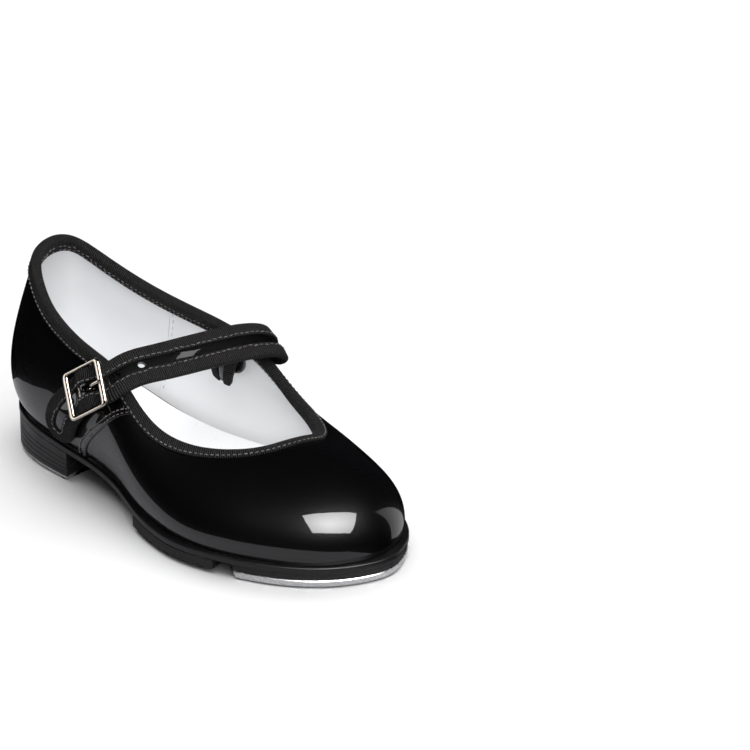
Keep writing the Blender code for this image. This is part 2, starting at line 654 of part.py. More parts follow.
def make_tab(looks, pivot):
    """Short strap sewn to the quarter, folded round the centre bar, slotted for the prong."""
    half = 0.25
    mean = BAR_R + GAP + half
    path = [(-7.2, -mean), (-4.5, -mean), (-2.2, -mean), (0, -mean)]
    path += [(mean * math.sin(a), -mean * math.cos(a)) for a in np.radians(np.arange(30, 181, 30))]
    path += [(-1.6, mean - 0.2), (-3.6, 0.3)]
    path = np.array(path)
    ahead = unit(np.gradient(path, axis=0))
    side = np.stack([-ahead[:, 1], ahead[:, 0]], 1)
    width = np.linspace(-4.0, 4.0, 3)
    sheets = [np.array([[(*(p + h * n), w) for w in width] for p, n in zip(path, side)])
              for h in (-half, half)]
    sheets = [sheet[..., [0, 2, 1]] for sheet in sheets]
    tab = add_object("buckle_tab", *two_sheets(*sheets), looks["patent"])
    tab.matrix_world = pivot
    slot = rounded_rectangle(3.4, 1.15, 0.5, 2)
    ends = np.array([[(x, y, z) for x, y in slot] for z in (-5.0, 5.0)])
    tool = cutter(add_object("tab_slot", *swept(ends), looks["patent"]))
    tool.matrix_world = pivot
    cut(tab, tool)


# ---------------------------------------------------------------- the shoe
def main():
    for piece in list(bpy.data.objects):
        bpy.data.objects.remove(piece)
    looks = {
        "patent": material("black_patent", (0.006, 0.006, 0.007), 0.06),
        "grosgrain": material("black_grosgrain", (0.02, 0.02, 0.021), 0.75),
        "lining": material("silver_lining", (0.72, 0.72, 0.73), 0.35),
        "sock": material("insole_sock", (0.7, 0.7, 0.71), 0.4),
        "insole": material("insole_board", (0.42, 0.36, 0.28), 0.8),
        "board": material("black_board", (0.02, 0.02, 0.02), 0.7),
        "sole": material("black_outsole", (0.03, 0.03, 0.033), 0.55),
        "heel": material("heel_stack", (0.035, 0.035, 0.038), 0.6),
        "rubber": material("grip_rubber", (0.015, 0.015, 0.016), 0.65),
        "aluminium": material("tap_aluminium", (0.75, 0.76, 0.77), 0.32, 1.0),
        "steel": material("shank_steel", (0.5, 0.5, 0.52), 0.4, 1.0),
        "nickel": material("nickel", (0.72, 0.69, 0.64), 0.18, 1.0),
        "enamel": material("black_enamel", (0.012, 0.012, 0.013), 0.3)}
    make_sole(looks)
    make_insole(looks)
    lateral, medial, vamp_lining = make_upper(looks)
    make_binding(looks)
    make_eyelet(looks, [medial, vamp_lining])
    make_strap(looks)
    make_loop(looks)
    make_buckle(looks)
    for piece in bpy.data.objects:
        piece.location += TO_CENTRE * MM


main()
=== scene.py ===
"""Child's buckle-strap tap shoe, right foot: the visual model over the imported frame.

Toe towards +X, outer (lateral) side towards -Y. Design lengths are millimetres in the
drawing's own frame; metres() takes them to the row frame.
"""
import math

import bmesh
import bpy
import numpy as np
from mathutils import Matrix, Vector


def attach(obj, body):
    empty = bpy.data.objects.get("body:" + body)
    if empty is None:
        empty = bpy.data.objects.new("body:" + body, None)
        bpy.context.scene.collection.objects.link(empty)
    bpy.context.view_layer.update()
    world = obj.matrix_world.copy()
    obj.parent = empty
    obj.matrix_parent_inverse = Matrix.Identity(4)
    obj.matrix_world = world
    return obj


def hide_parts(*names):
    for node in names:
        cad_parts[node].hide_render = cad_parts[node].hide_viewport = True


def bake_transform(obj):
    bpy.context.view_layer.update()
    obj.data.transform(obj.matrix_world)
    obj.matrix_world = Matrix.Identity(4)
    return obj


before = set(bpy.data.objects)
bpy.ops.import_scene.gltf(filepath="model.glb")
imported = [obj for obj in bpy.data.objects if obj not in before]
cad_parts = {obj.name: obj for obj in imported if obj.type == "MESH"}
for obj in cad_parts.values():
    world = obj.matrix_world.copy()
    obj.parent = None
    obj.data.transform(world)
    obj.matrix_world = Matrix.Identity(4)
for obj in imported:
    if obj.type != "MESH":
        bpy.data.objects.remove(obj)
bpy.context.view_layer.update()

MM = 0.001
GAP = 0.3
TO_CENTRE = np.array([0.158, 3.006, 0.0])

# ---------------- driving sizes
HAIR = 0.05  # keeps touching pieces from sharing a face
HALF_LENGTH = 84.5
HEEL_TAP, TOE_TAP, BOARD, SOLE = 1.8, 2.8, 1.9, 2.4
FOREPART_Z = TOE_TAP + GAP + BOARD + GAP
PATCH_Z = 1.8
BREAST_X = -43.0
SHANK, INSOLE_BOARD = 1.0, 1.5
LEATHER, STIFFENER, LINING, LINING_GAP = 1.1, 0.8, 0.7, 0.45
WALL = LEATHER + LINING_GAP + LINING  # at the topline
CLOTH, TAB = 0.5, 0.5
STRAP_HALF_WIDTH = 7.0
SCREWS_TOE = [(50, -26), (50, 24), (75.5, 1.5)]
SCREWS_HEEL = [(-50, -17.5), (-50, 15), (-77.5, -0.5)]

OUTLINE = [(-84.5, 0), (-81, -11.5), (-74, -19.5), (-62, -24.5), (-46, -26.3), (-30, -27),
           (-14, -30), (0, -35.5), (14, -39.5), (28, -40.5), (44, -37), (60, -30.5),
           (72, -22), (80, -12), (84.5, 0), (82.5, 10), (75, 20.5), (61, 29), (44, 34),
           (24, 34), (4, 29.5), (-14, 24.5), (-30, 22.5), (-46, 23.5), (-62, 23.5),
           (-74, 18.5), (-81, 10.5)]
SOLE_PROFILE = [(-90, 15.6), (-84, 15.0), (-43, 11.1), (-25, 9.3), (-8, 7.0), (8, 5.7),
                (20, FOREPART_Z), (90, FOREPART_Z)]
# foot x, y | lower handle dx, dy, dz | topline x, y, z | upper handle dx, dy, dz
STATIONS = [
    (-83.0, 0, -5, 0, 16, -77, 0, 72.5, -3.5, 0, -18),
    (-79.6, -11, -5, -5, 16, -73.5, -10.5, 70.8, -3.5, -4, -18),
    (-73, -18.3, -4, -8, 15, -66, -16.5, 65.6, -2.5, -5, -16),
    (-62, -23, -1, -8, 14, -55, -20.5, 59, -1, -5, -14),
    (-46, -24.8, 0, -7, 13, -39, -23.5, 54.3, 0, -5, -13),
    (-30, -25.3, 0, -7, 12, -25, -25, 52, 0, -5, -12),
    (-14, -28, 0, -7, 11, -14.5, -26, 48.5, 0, -6, -10),
    (0, -33.2, 0, -6, 11, -6, -26, 41, 0, -6, -8),
    (14, -37, 1, -6, 11, 4, -25, 35, 2, -7, -6),
    (29, -38.3, 2, -6, 11, 16, -21.5, 32.5, 6, -9, -4),
    (45, -35, 4, -6, 12, 27, -15, 32.5, 12, -10, -2),
    (60, -28.5, 5, -5, 14, 34, -7.5, 33.3, 18, -8, 0),
    (72, -19.8, 4.5, -4, 17, 37.5, -1, 34.3, 24, -5, 0.5),
    (79.5, -8, 3.5, -2, 18.5, 39, 4.5, 34.3, 27, -2, 0.5),
    (81.5, 3, 2, 0, 18.5, 39, 8, 33.6, 27, 1, -0.5),
    (78.5, 13, 1.5, 1, 17, 38.5, 11.5, 32.6, 25, 2, -1.5),
    (71, 21.8, 1.5, 2, 14, 36, 16, 31.3, 20, 5, -3),
    (58, 28.6, 2, 3, 12, 31, 20.5, 31, 12, 7, -5),
    (42, 31.8, 2, 4, 12, 24, 23.5, 32.5, 6, 7, -5),
    (24, 32, 1, 5, 12, 14, 25.5, 37, 2, 6, -7),
    (4, 27.5, 0, 5, 13, 2, 26.5, 44.5, 0, 5, -9),
    (-14, 22.8, 0, 5, 15, -11, 25, 50.5, 0, 4, -11),
    (-30, 21, 0, 5, 15, -26, 23.5, 53, 0, 4, -13),
    (-46, 22, 0, 5, 15, -42, 22, 55, 0, 4, -14),
    (-62, 22, -1, 6, 15, -57, 19.5, 58.8, -1, 4, -15),
    (-73, 17.3, -3, 6, 15, -68.5, 15, 65, -2, 4, -15),
    (-79.6, 10.2, -5, 4, 16, -75, 9, 70.6, -3.5, 3, -17)]
COUNT = len(STATIONS)

# The strap's middle layer: tail, run through the buckle, instep and end loop. The run dips more
# under the buckle's end bars than the CAD's, so that the buckle can rock, and the loop hangs lower.
TAIL_PATH = [(4.12, 0.14, 1.9), (4.25, 0.29, 1.9), (4.38, 0.44, 2.2)]
BUCKLE_RUN = [(-9.6, -3.25), (-4.8, -1.1), (0.0, 0.5), (4.8, -1.05), (9.6, -3.5)]
INSTEP_PATH = [(-12.4, -23.0, 52.3), (-8.9, -14, 53.1), (-5.6, -4.5, 53.4),
               (-3.0, 5, 53.4), (-0.6, 14, 53.2), (1.4, 22, 52.3), (2.9, 28.8, 50.0)]
INSTEP_NORMALS = [(0.36, -0.42, 0.82), (0.48, -0.22, 0.84), (0.54, -0.12, 0.83),
                  (0.56, -0.04, 0.83), (0.58, 0.06, 0.8), (0.58, 0.3, 0.74), (0.5, 0.66, 0.56)]
BUCKLE_CENTRE, BUCKLE_ALONG = (-24.3, -33.3, 44.3), (0.814, 0.008, 0.585)
BUCKLE_OUT = (-0.164, -0.955, 0.241)
EYELET_T, EYELET_V = 21.2, 0.77
LOOP_PATH = [(15.4, -4.6, 4.6), (8.8, -1.2, 5.6), (3.6, -0.4, 4.6), (1.7, -0.1, 2.2),
             (1.0, 0.3, -0.9), (1.3, 0.9, -4.4), (2.4, 4.4, -7.2), (3.6, 7.0, -9.2),
             (4.0, 3.4, -11.0), (3.6, -3.8, -10.2), (3.0, -9.4, -9.4)]
LOOP_NORMALS = [(0.3, 0, 1), (0.1, 0.2, 1), (0, 0.6, 0.8), (0, 0.95, 0.4), (0, 1, 0),
                (0, 1, -0.1), (0, 0.9, -0.5), (0, 0.5, -0.9), (0, 0, -1), (0, -0.1, -1),
                (0, 0, -1)]


# ---------------- curves and frames
def unit(vectors):
    vectors = np.asarray(vectors, float)
    return vectors / np.linalg.norm(vectors, axis=-1, keepdims=True)


def circle(count):
    """Angles evenly round a circle."""
    return np.linspace(0, 2 * math.pi, count, endpoint=False)


def left_of(along):
    """Plane directions a quarter turn to the left of those."""
    return np.stack([-along[:, 1], along[:, 0]], 1)


def tangents(line):
    """Directions along a closed line."""
    return unit(np.roll(line, -1, axis=0) - np.roll(line, 1, axis=0))


def spline(points, where, closed=False):
    """Cubic spline with one unit of the parameter from each point to the next."""
    points, where = np.asarray(points, float), np.asarray(where, float)
    n = len(points)
    step = np.eye(n)
    around = np.roll(step, 1, axis=1) + np.roll(step, -1, axis=1)
    matrix, right = 4 * step + around, 6 * (around - 2 * step) @ points
    if closed:
        where = np.mod(where, n)
        a = np.floor(where).astype(int)
    else:
        matrix[[0, -1]], right[[0, -1]] = step[[0, -1]], 0
        a = np.clip(np.floor(where).astype(int), 0, n - 2)
    bend = np.linalg.solve(matrix, right)
    f = (where - a)[..., None]
    b = (a + 1) % n
    g = 1 - f
    return g * points[a] + f * points[b] + ((g**3 - g) * bend[a] + (f**3 - f) * bend[b]) / 6


def running_length(line):
    """Length along a line from its start to each of its points."""
    return np.concatenate([[0], np.cumsum(np.linalg.norm(np.diff(line, axis=0), axis=1))])


def flat(value):
    """A function that has one value everywhere."""
    return lambda x: np.full(np.shape(x), float(value))


def sole_z(x):
    """Height of the outsole's underside at x, its profile's corners smoothed."""
    xs, zs = zip(*SOLE_PROFILE)
    fine = np.linspace(xs[0], xs[-1], 361)
    reach = 10
    padded = np.pad(np.interp(fine, xs, zs), reach, mode="edge")
    window = 2 * reach + 1
    return np.interp(x, fine, np.convolve(padded, np.ones(window) / window, mode="valid"))


def sole_top(x):
    return sole_z(x) + SOLE


def sides(x, inset):
    """Outer and inner y of the sole's outline, moved inwards, at x."""
    where = np.linspace(0, len(OUTLINE), 1080, endpoint=False)
    line = spline(OUTLINE, where, closed=True)
    line = line + inset * left_of(tangents(line))
    toe, heel = int(np.argmax(line[:, 0])), int(np.argmin(line[:, 0]))
    line = np.roll(line, -heel, axis=0)
    toe = (toe - heel) % len(line)
    outer, inner = line[:toe + 1], line[toe:][::-1]
    return np.interp(x, outer[:, 0], outer[:, 1]), np.interp(x, inner[:, 0], inner[:, 1])


def upper_surface(t, v, depth=0.0):
    """Points of the upper, depth under its outside; t is the station, v runs foot to topline."""
    def outside(t, v):
        row = spline(STATIONS, t, closed=True)
        foot = np.concatenate([row[..., 0:2], sole_top(row[..., 0])[..., None] + GAP], -1)
        low, top, high = row[..., 2:5], row[..., 5:8], row[..., 8:11]
        w = v[..., None]
        return ((1 - w)**3 * foot + 3 * (1 - w)**2 * w * (foot + low)
                + 3 * (1 - w) * w**2 * (top + high) + w**3 * top)
    t, v, depth = np.broadcast_arrays(*(np.asarray(k, float) for k in (t, v, depth)))
    small = 1e-3
    across = outside(t + small, v) - outside(t - small, v)
    upward = outside(t, v + small) - outside(t, v - small)
    return outside(t, v) - depth[..., None] * unit(np.cross(across, upward))


def upper_normal(t, v):
    return unit(upper_surface(t, v, -1.0) - upper_surface(t, v))


def axes(origin, x_axis, z_axis):
    """Origin and rotation of a local frame with that x and z."""
    z = unit(z_axis)
    x = np.asarray(x_axis, float)
    x = unit(x - (x @ z) * z)
    return np.asarray(origin, float), np.array([x, np.cross(z, x), z])


def in_frame(local, points):
    origin, turn = local
    return np.asarray(points, float) @ turn + origin


BUCKLE = axes(BUCKLE_CENTRE, BUCKLE_ALONG, BUCKLE_OUT)
EYELET = axes(upper_surface(EYELET_T, EYELET_V),
              upper_surface(EYELET_T - 0.5, EYELET_V) - upper_surface(EYELET_T + 0.5, EYELET_V),
              upper_normal(EYELET_T, EYELET_V))


# ---------------- materials
def add_node(tree, kind, inputs=None, links=None, **settings):
    """A node, the values of its inputs, and the sockets that feed the others."""
    node = tree.nodes.new(kind)
    for key, value in settings.items():
        setattr(node, key, value)
    for key, value in (inputs or {}).items():
        node.inputs[key].default_value = value
    for key, socket in (links or {}).items():
        tree.links.new(socket, node.inputs[key])
    return node


class Look:
    """A Principled material with helpers for its procedural nodes."""

    def __init__(self, name, colour, roughness, metallic=0.0, **sockets):
        self.material = bpy.data.materials.new(name)
        self.material.use_nodes = True
        self.material.diffuse_color = (*colour, 1)
        self.tree = self.material.node_tree
        self.shader = self.tree.nodes["Principled BSDF"]
        values = {"Base Color": (*colour, 1), "Roughness": roughness, "Metallic": metallic}
        values.update((key.replace("_", " "), value) for key, value in sockets.items())
        for socket, value in values.items():
            self.shader.inputs[socket].default_value = value
        self.coords = self.add("ShaderNodeTexCoord")

    def add(self, kind, inputs=None, links=None, **settings):
        return add_node(self.tree, kind, inputs, links, **settings)

    def link(self, socket, to):
        self.tree.links.new(socket, self.shader.inputs[to])

    def xyz(self, kind):
        """The three numbers of a coordinate."""
        return self.add("ShaderNodeSeparateXYZ",
                        links={"Vector": self.coords.outputs[kind]}).outputs

    def noise(self, scale, detail=2.0, stretch=(1, 1, 1)):
        mapping = self.add("ShaderNodeMapping", {"Scale": stretch},
                           {"Vector": self.coords.outputs["Object"]})
        return self.add("ShaderNodeTexNoise", {"Scale": scale, "Detail": detail},
                        {"Vector": mapping.outputs[0]}).outputs["Fac"]

    def ramp(self, fac, low, high, start=0.3, end=0.7):
        values = {"From Min": start, "From Max": end, "To Min": low, "To Max": high}
        return self.add("ShaderNodeMapRange", values, {"Value": fac}).outputs[0]

    def math(self, operation, *values):
        node = self.add("ShaderNodeMath", operation=operation)
        for socket, value in zip(node.inputs, values):
            if isinstance(value, (int, float)):
                socket.default_value = value
            else:
                self.tree.links.new(value, socket)
        return node.outputs[0]

    def paint(self, fac, low, high):
        mix = self.add("ShaderNodeMix", {6: (*low, 1), 7: (*high, 1)}, {"Factor": fac},
                       data_type="RGBA")
        self.link(mix.outputs[2], "Base Color")

    def roughen(self, fac, roughness, spread):
        self.link(self.ramp(fac, roughness * (1 - spread), roughness * (1 + spread)),
                  "Roughness")

    def bump(self, height, distance, strength, to="Normal"):
        """Add a bump to those that the shader has."""
        links = {"Height": height}
        if self.shader.inputs[to].is_linked:
            links["Normal"] = self.shader.inputs[to].links[0].from_socket
        node = self.add("ShaderNodeBump", {"Distance": distance, "Strength": strength}, links)
        self.link(node.outputs[0], to)


def patent():
    look = Look("patent", (0.001, 0.001, 0.0012), 0.4, Coat_Weight=1.0, Coat_Roughness=0.02,
                Coat_IOR=1.62, Specular_IOR_Level=0.15)
    look.paint(look.noise(40), (0.0007, 0.0007, 0.0009), (0.0014, 0.0014, 0.0017))
    look.bump(look.noise(110, 3), 0.00016, 0.16)
    look.bump(look.noise(1500), 0.00002, 0.10)
    look.bump(look.noise(260, 4), 0.00016, 0.14, "Coat Normal")
    return look.material


def grosgrain():
    """Ribbed tape. Its UV map's first axis runs across the ribs, in millimetres."""
    ribs_per_mm = 1.4
    look = Look("grosgrain", (0.01, 0.01, 0.0105), 0.8, Specular_IOR_Level=0.16)
    wander = look.math("MULTIPLY", look.noise(300, 1), 0.5)
    phase = look.math("ADD", look.xyz("UV")[0], wander)
    wave = look.math("SINE", look.math("MULTIPLY", phase, 2 * math.pi * ribs_per_mm))
    rib = look.ramp(wave, 0.0, 1.0, -0.3, 0.9)
    fibre = look.noise(2600)
    # painted light: the colour is darkened in the grooves between the ribs as painted shade and
    # lightened on the rib crests as painted highlight, times the fibres' own random tone
    rib_light_and_fibre = look.math("MULTIPLY", rib, look.ramp(fibre, 0.15, 1.2))
    look.paint(rib_light_and_fibre, (0.0003, 0.0003, 0.0004), (0.056, 0.053, 0.053))
    look.bump(rib, 0.00022, 0.9)
    look.bump(fibre, 0.00008, 0.4)
    return look.material


def thread(name, dark, light):
    look = Look(name, light, 0.55, Sheen_Weight=0.2)
    look.paint(look.ramp(look.noise(420), 0, 1), dark, light)
    look.bump(look.noise(5200), 0.00008, 0.5)
    return look.material


def lining_leather(name, low, high, roughness):
    look = Look(name, high, roughness, Coat_Weight=0.3, Coat_Roughness=0.16)
    look.paint(look.noise(55, 1), low, high)
    look.roughen(look.noise(900), roughness, 0.1)
    grain = look.add("ShaderNodeTexVoronoi", {"Scale": 2300.0},
                     {"Vector": look.coords.outputs["Object"]})
    look.bump(grain.outputs["Distance"], 0.00003, 0.25)
    look.bump(look.noise(60, 1), 0.0004, 0.2)
    return look.material


def board(name, low, high, roughness, stretch=(1, 1, 1), scale=900):
    look = Look(name, high, roughness)
    grain = look.noise(scale, 4, stretch)
    look.paint(look.ramp(grain, 0, 1), low, high)
    look.roughen(look.noise(160, 3), roughness, 0.2)
    look.bump(grain, 0.00005, 0.35)
    return look.material


def rubber():
    """Black rubber with a fine diamond grid moulded into its underside."""
    pitch, skew = 0.0016, 0.8
    look = Look("grip_rubber", (0.012, 0.012, 0.013), 0.6)
    x, y, _ = look.xyz("Object")
    waves = []
    for sign in (1, -1):
        slope = look.math("ADD", x, look.math("MULTIPLY", y, sign * skew))
        wave = look.math("SINE", look.math("MULTIPLY", slope, math.pi / pitch))
        waves.append(look.math("ABSOLUTE", wave))
    grid = look.math("MULTIPLY", look.math("MINIMUM", *waves), 2.2)
    grid = look.math("MINIMUM", grid, 1.0)
    under = look.ramp(look.xyz("Normal")[2], 1.0, 0.0, -0.9, -0.6)
    grid = look.math("MULTIPLY", grid, under)
    look.paint(grid, (0.006, 0.006, 0.0065), (0.026, 0.026, 0.027))
    look.bump(grid, 0.0003, 0.8)
    look.bump(look.noise(1800), 0.00004, 0.3)
    return look.material


def metal(name, colour, roughness, stretch=(1, 1, 1), scale=500, spread=0.35, wear=0.2,
          metallic=1.0):
    look = Look(name, colour, roughness, metallic)
    streak = look.noise(scale, 4, stretch)
    look.roughen(streak, roughness, spread)
    dull = [c * (1 - wear) for c in colour]
    look.paint(look.ramp(look.noise(140, 4), 0, 1), dull, colour)
    look.bump(streak, 0.00002, 0.12)
    return look.material


def enamel():
    look = Look("eyelet_enamel", (0.01, 0.01, 0.011), 0.3, Coat_Weight=0.3, Coat_Roughness=0.2)
    look.link(look.ramp(look.noise(240, 3), 0.24, 0.38), "Roughness")
    look.bump(look.noise(900), 0.00002, 0.2)
    return look.material


LOOKS = {
    "patent": patent(),
    "grosgrain": grosgrain(),
    "light_thread": thread("light_thread", (0.07, 0.07, 0.072), (0.28, 0.28, 0.285)),
    "grey_thread": thread("grey_thread", (0.03, 0.03, 0.03), (0.26, 0.24, 0.24)),
    "pale_thread": thread("pale_thread", (0.42, 0.42, 0.43), (0.62, 0.62, 0.63)),
    "lining": lining_leather("lining", (0.8, 0.81, 0.825), (0.86, 0.865, 0.875), 0.34),
    "sock": lining_leather("sock", (0.84, 0.85, 0.86), (0.89, 0.895, 0.9), 0.3),
    "fibre": board("insole_fibre", (0.33, 0.27, 0.2), (0.5, 0.42, 0.32), 0.8),
    "stiffener": board("stiffener", (0.03, 0.03, 0.03), (0.08, 0.078, 0.075), 0.8),
    "sole": board("outsole_edge", (0.004, 0.004, 0.0045), (0.009, 0.009, 0.01), 0.36),
    "board": board("tap_board", (0.003, 0.003, 0.003), (0.008, 0.008, 0.009), 0.5),
    "heel": board("heel_stack", (0.013, 0.013, 0.014), (0.021, 0.021, 0.0225), 0.42,
                  (0.12, 0.12, 3.0), 700),
    "rubber": rubber(),
    "tap": metal("tap_satin", (0.8, 0.8, 0.8), 0.26, (0.08, 1, 1), 1100, wear=0.08),
    "tap_edge": metal("tap_polished", (0.86, 0.86, 0.86), 0.28, (1, 1, 6), 1500, 0.12, 0.06,
                      metallic=0.75),
    "screw": metal("screw_steel", (0.6, 0.585, 0.56), 0.28),
    "shank": metal("shank_steel", (0.5, 0.5, 0.52), 0.38, (0.05, 1, 1), 900),
    "nickel": metal("nickel", (0.83, 0.74, 0.65), 0.2, (1, 1, 1), 700, 0.2, 0.1),
    "enamel": enamel()}


# ---------------- meshes and pieces
def metres(points):
    """Points in the row frame, in metres, from millimetres in the drawing's own frame."""
    return (np.asarray(points, float).reshape(-1, 3) + TO_CENTRE) * MM


def link_object(name, data):
    item = bpy.data.objects.new(name, data)
    bpy.context.collection.objects.link(item)
    return item


def solid(name, points, faces):
    """A mesh object from millimetre points, with its faces turned outwards."""
    mesh = bpy.data.meshes.new(name)
    mesh.from_pydata(metres(points).tolist(), [], faces)
    bm = bmesh.new()
    bm.from_mesh(mesh)
    bmesh.ops.recalc_face_normals(bm, faces=bm.faces)
    bm.to_mesh(mesh)
    bm.free()
    return link_object(name, mesh)


def add(name, points, faces, look, slot, body="shoe", nodes=(), uv=None, sharp=40):
    """A piece from millimetre points, in place of the CAD nodes named."""
    piece = solid(name, points, faces)
    mesh = piece.data
    mesh.materials.append(LOOKS[look])
    if uv is not None:
        layer = mesh.uv_layers.new(name="UVMap")
        index = np.empty(len(mesh.loops), int)
        mesh.loops.foreach_get("vertex_index", index)
        layer.data.foreach_set("uv", np.asarray(uv, float).reshape(-1, 2)[index].ravel())
    mesh.shade_smooth()
    mesh.set_sharp_from_angle(angle=math.radians(sharp))
    if nodes:
        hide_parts(*nodes)
    if body:
        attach(piece, body)
    return piece


def two_sheets(first, second):
    """Points and faces of the closed solid between two equal grids of points."""
    grid = np.arange(first[..., 0].size).reshape(first.shape[:2])
    shift = grid.size
    quads = np.stack([grid[:-1, :-1], grid[:-1, 1:], grid[1:, 1:], grid[1:, :-1]], -1)
    quads = quads.reshape(-1, 4)
    faces = quads.tolist() + (quads[:, ::-1] + shift).tolist()
    rim = np.concatenate([grid[0], grid[1:, -1], grid[-1, -2::-1], grid[-2:0:-1, 0]]).tolist()
    faces += [(b, a, a + shift, b + shift) for a, b in zip(rim, rim[1:] + rim[:1])]
    return np.concatenate([first.reshape(-1, 3), second.reshape(-1, 3)]), faces


def swept(sections, closed=False):
    """Points and faces of a tube through equal rings of points, capped unless closed."""
    sections = np.asarray(sections, float)
    grid = np.arange(sections[..., 0].size).reshape(sections.shape[:2])
    after = np.roll(grid, -1, axis=1)
    quads = np.stack([grid, after, np.roll(after, -1, axis=0), np.roll(grid, -1, axis=0)], -1)
    faces = (quads if closed else quads[:-1]).reshape(-1, 4).tolist()
    if not closed:
        faces += [grid[0].tolist(), grid[-1].tolist()]
    return sections.reshape(-1, 3), faces


def joined(parts):
    """One set of points and faces from several."""
    points, faces, start = [], [], 0
    for part_points, part_faces in parts:
        points.append(np.asarray(part_points, float).reshape(-1, 3))
        faces += [tuple(k + start for k in face) for face in part_faces]
        start += len(points[-1])
    return np.concatenate(points), faces


def cut_with(piece, shapes):
    """Cut shapes, each a set of points and faces, out of a piece for good."""
    tool = solid("tool", *joined(shapes))
    change = piece.modifiers.new("cut", "BOOLEAN")
    change.operation, change.object, change.solver = "DIFFERENCE", tool, "EXACT"
    change.use_self = True
    bpy.context.view_layer.update()
    mesh = bpy.data.meshes.new_from_object(
        piece.evaluated_get(bpy.context.evaluated_depsgraph_get()))
    piece.modifiers.clear()
    piece.data = mesh
    bpy.data.objects.remove(tool)


# How far along a stitch its six rings are, and their size and rise as shares of its width.
STITCH_ALONG = np.array([-0.5, -0.4, -0.15, 0.15, 0.4, 0.5])
STITCH_SIZE = np.array([0.35, 0.85, 1.0, 1.0, 0.85, 0.35]) / 2
STITCH_RISE = np.array([-0.8, 0.05, 0.45, 0.45, 0.05, -0.8]) / 2
STITCH_LIFT = 0.02


def stitch_row(line, normals, length, gap, width, wobble=0.0, seed=1):
    """Points and faces of a row of stitches along a line on a surface."""
    def resample(values):
        return np.stack([np.interp(where, lengths, values[:, k]) for k in range(3)], -1)
    rng = np.random.default_rng(seed)
    lengths = running_length(line)
    pitch = length + gap
    count = max(1, int(lengths[-1] / pitch))
    centre = (np.arange(count) + 0.5) * pitch
    where = np.clip(centre[:, None] + STITCH_ALONG * length, 0, lengths[-1])
    at, normal = resample(line), unit(resample(normals))
    side = unit(np.cross(at[:, -1:] - at[:, :1], normal))
    shift, turn = rng.normal(0, wobble, (count, 1, 1)), rng.normal(0, wobble, (count, 1, 1))
    at = (at + normal * (STITCH_RISE * width + STITCH_LIFT)[:, None]
          + side * (shift + turn * STITCH_ALONG[:, None] * 2))
    angles = circle(6)[:, None]
    rings = at[:, :, None] + (STITCH_SIZE * width)[:, None, None] * (
        np.cos(angles) * side[:, :, None] + np.sin(angles) * normal[:, :, None])
    return joined([swept(one) for one in rings])


def stitches(name, rows, look, slot, body="shoe"):
    return add(name, *joined(rows), look, slot, body, sharp=80)


def ribbon_uv(along, ring):
    """UV of a swept tape: length along it, and the number of the point in its ring."""
    return np.stack(np.meshgrid(np.ravel(along), np.arange(ring), indexing="ij"), -1)


# ---------------- sole unit
def tap_rear(w):
    return 41.0 + 3.0 * w**2 + 4.5 * np.abs(w)**9


def heel_front(w):
    return BREAST_X - 1.6 * (1 - w**2)


def eased(start, end, count):
    """Numbers from start to end, close together at the end."""
    return start + (end - start) * np.sin(np.linspace(0, math.pi / 2, count))


def across(x, w, inset):
    """The y of places at x, where w runs from -1 on the sole's outer edge to 1 on the inner."""
    outer, inner = sides(x, inset)
    return outer + (inner - outer) * (w + 1) / 2


def perimeter(inset, rear=None, front=None, count=70):
    """A closed outline between two cross curves of w; None runs to the tip of the sole."""
    def crossing(curve):
        return list(zip(curve(w), across(curve(w), w, inset)))[1:-1]
    w = np.linspace(-1, 1, 41)
    tip = HALF_LENGTH - inset - 0.02  # a little inside the outline's ends
    first = float(rear(1.0)) if rear else -tip
    last = float(front(1.0)) if front else tip
    if rear and front:
        x = np.linspace(first, last, count)
    elif rear:
        x = eased(first, last, count)
    elif front:
        x = eased(last, first, count)[::-1]
    else:
        x = -tip * np.cos(np.linspace(0, math.pi, 2 * count))
    outer, inner = sides(x, inset)
    line = list(zip(x, outer)) + (crossing(front) if front else [])
    line += list(zip(x, inner))[::-1][0 if front else 1:]
    return np.array(line + crossing(rear)[::-1] if rear else line[:-1])


def inwards(line):
    before = unit(line - np.roll(line, 1, axis=0))
    after = unit(np.roll(line, -1, axis=0) - line)
    return left_of(unit(before + after))


def layers(line, levels):
    """Rings of an outline at levels of (inset, height), height a number or function of x."""
    normal = inwards(line)
    rings = []
    for inset, height in levels:
        ring = line + inset * normal
        height = height if callable(height) else flat(height)
        rings.append(np.column_stack([ring, height(ring[:, 0])]))
    return np.array(rings)


def laddered(rings):
    """Swept faces with caps made of strips across the sole, for curved caps."""
    points, faces = swept(rings)
    faces = faces[:-2]
    n = rings.shape[1]
    for start in (0, (len(rings) - 1) * n):
        for k in range(n // 2):
            corners = [k, k + 1, (n - k - 1) % n, (n - k) % n]
            face = list(dict.fromkeys(start + c for c in corners))
            if len(face) > 2:
                faces.append(tuple(face))
    return points, faces


def rounded_levels(low, high, radius, steps=3):
    """Levels of a slab between two heights with rounded rims."""
    low, high = (k if callable(k) else flat(k) for k in (low, high))
    angles = np.linspace(0, math.pi / 2, steps + 1)
    levels = [(radius * 2.5, low)]
    for height, sign, order in ((low, 1, angles), (high, -1, angles[::-1])):
        levels += [(radius * (1 - math.sin(a)),
                    lambda x, a=a, z=height, up=sign: z(x) + up * radius * (1 - math.cos(a)))
                   for a in order]
    return levels + [(radius * 2.5, high)]


def turned(profile, x, y, count=32):
    """Rings of a turned shape on an upright axis, from its (radius, height) profile."""
    return np.array([[(x + r * math.cos(a), y + r * math.sin(a), z) for a in circle(count)]
                     for r, z in profile])


def make_outsole():
    rings = layers(perimeter(0.15), rounded_levels(sole_z, sole_top, 0.45))
    add("outsole_body", *laddered(rings), "sole", "outsole", nodes=["outsole"])


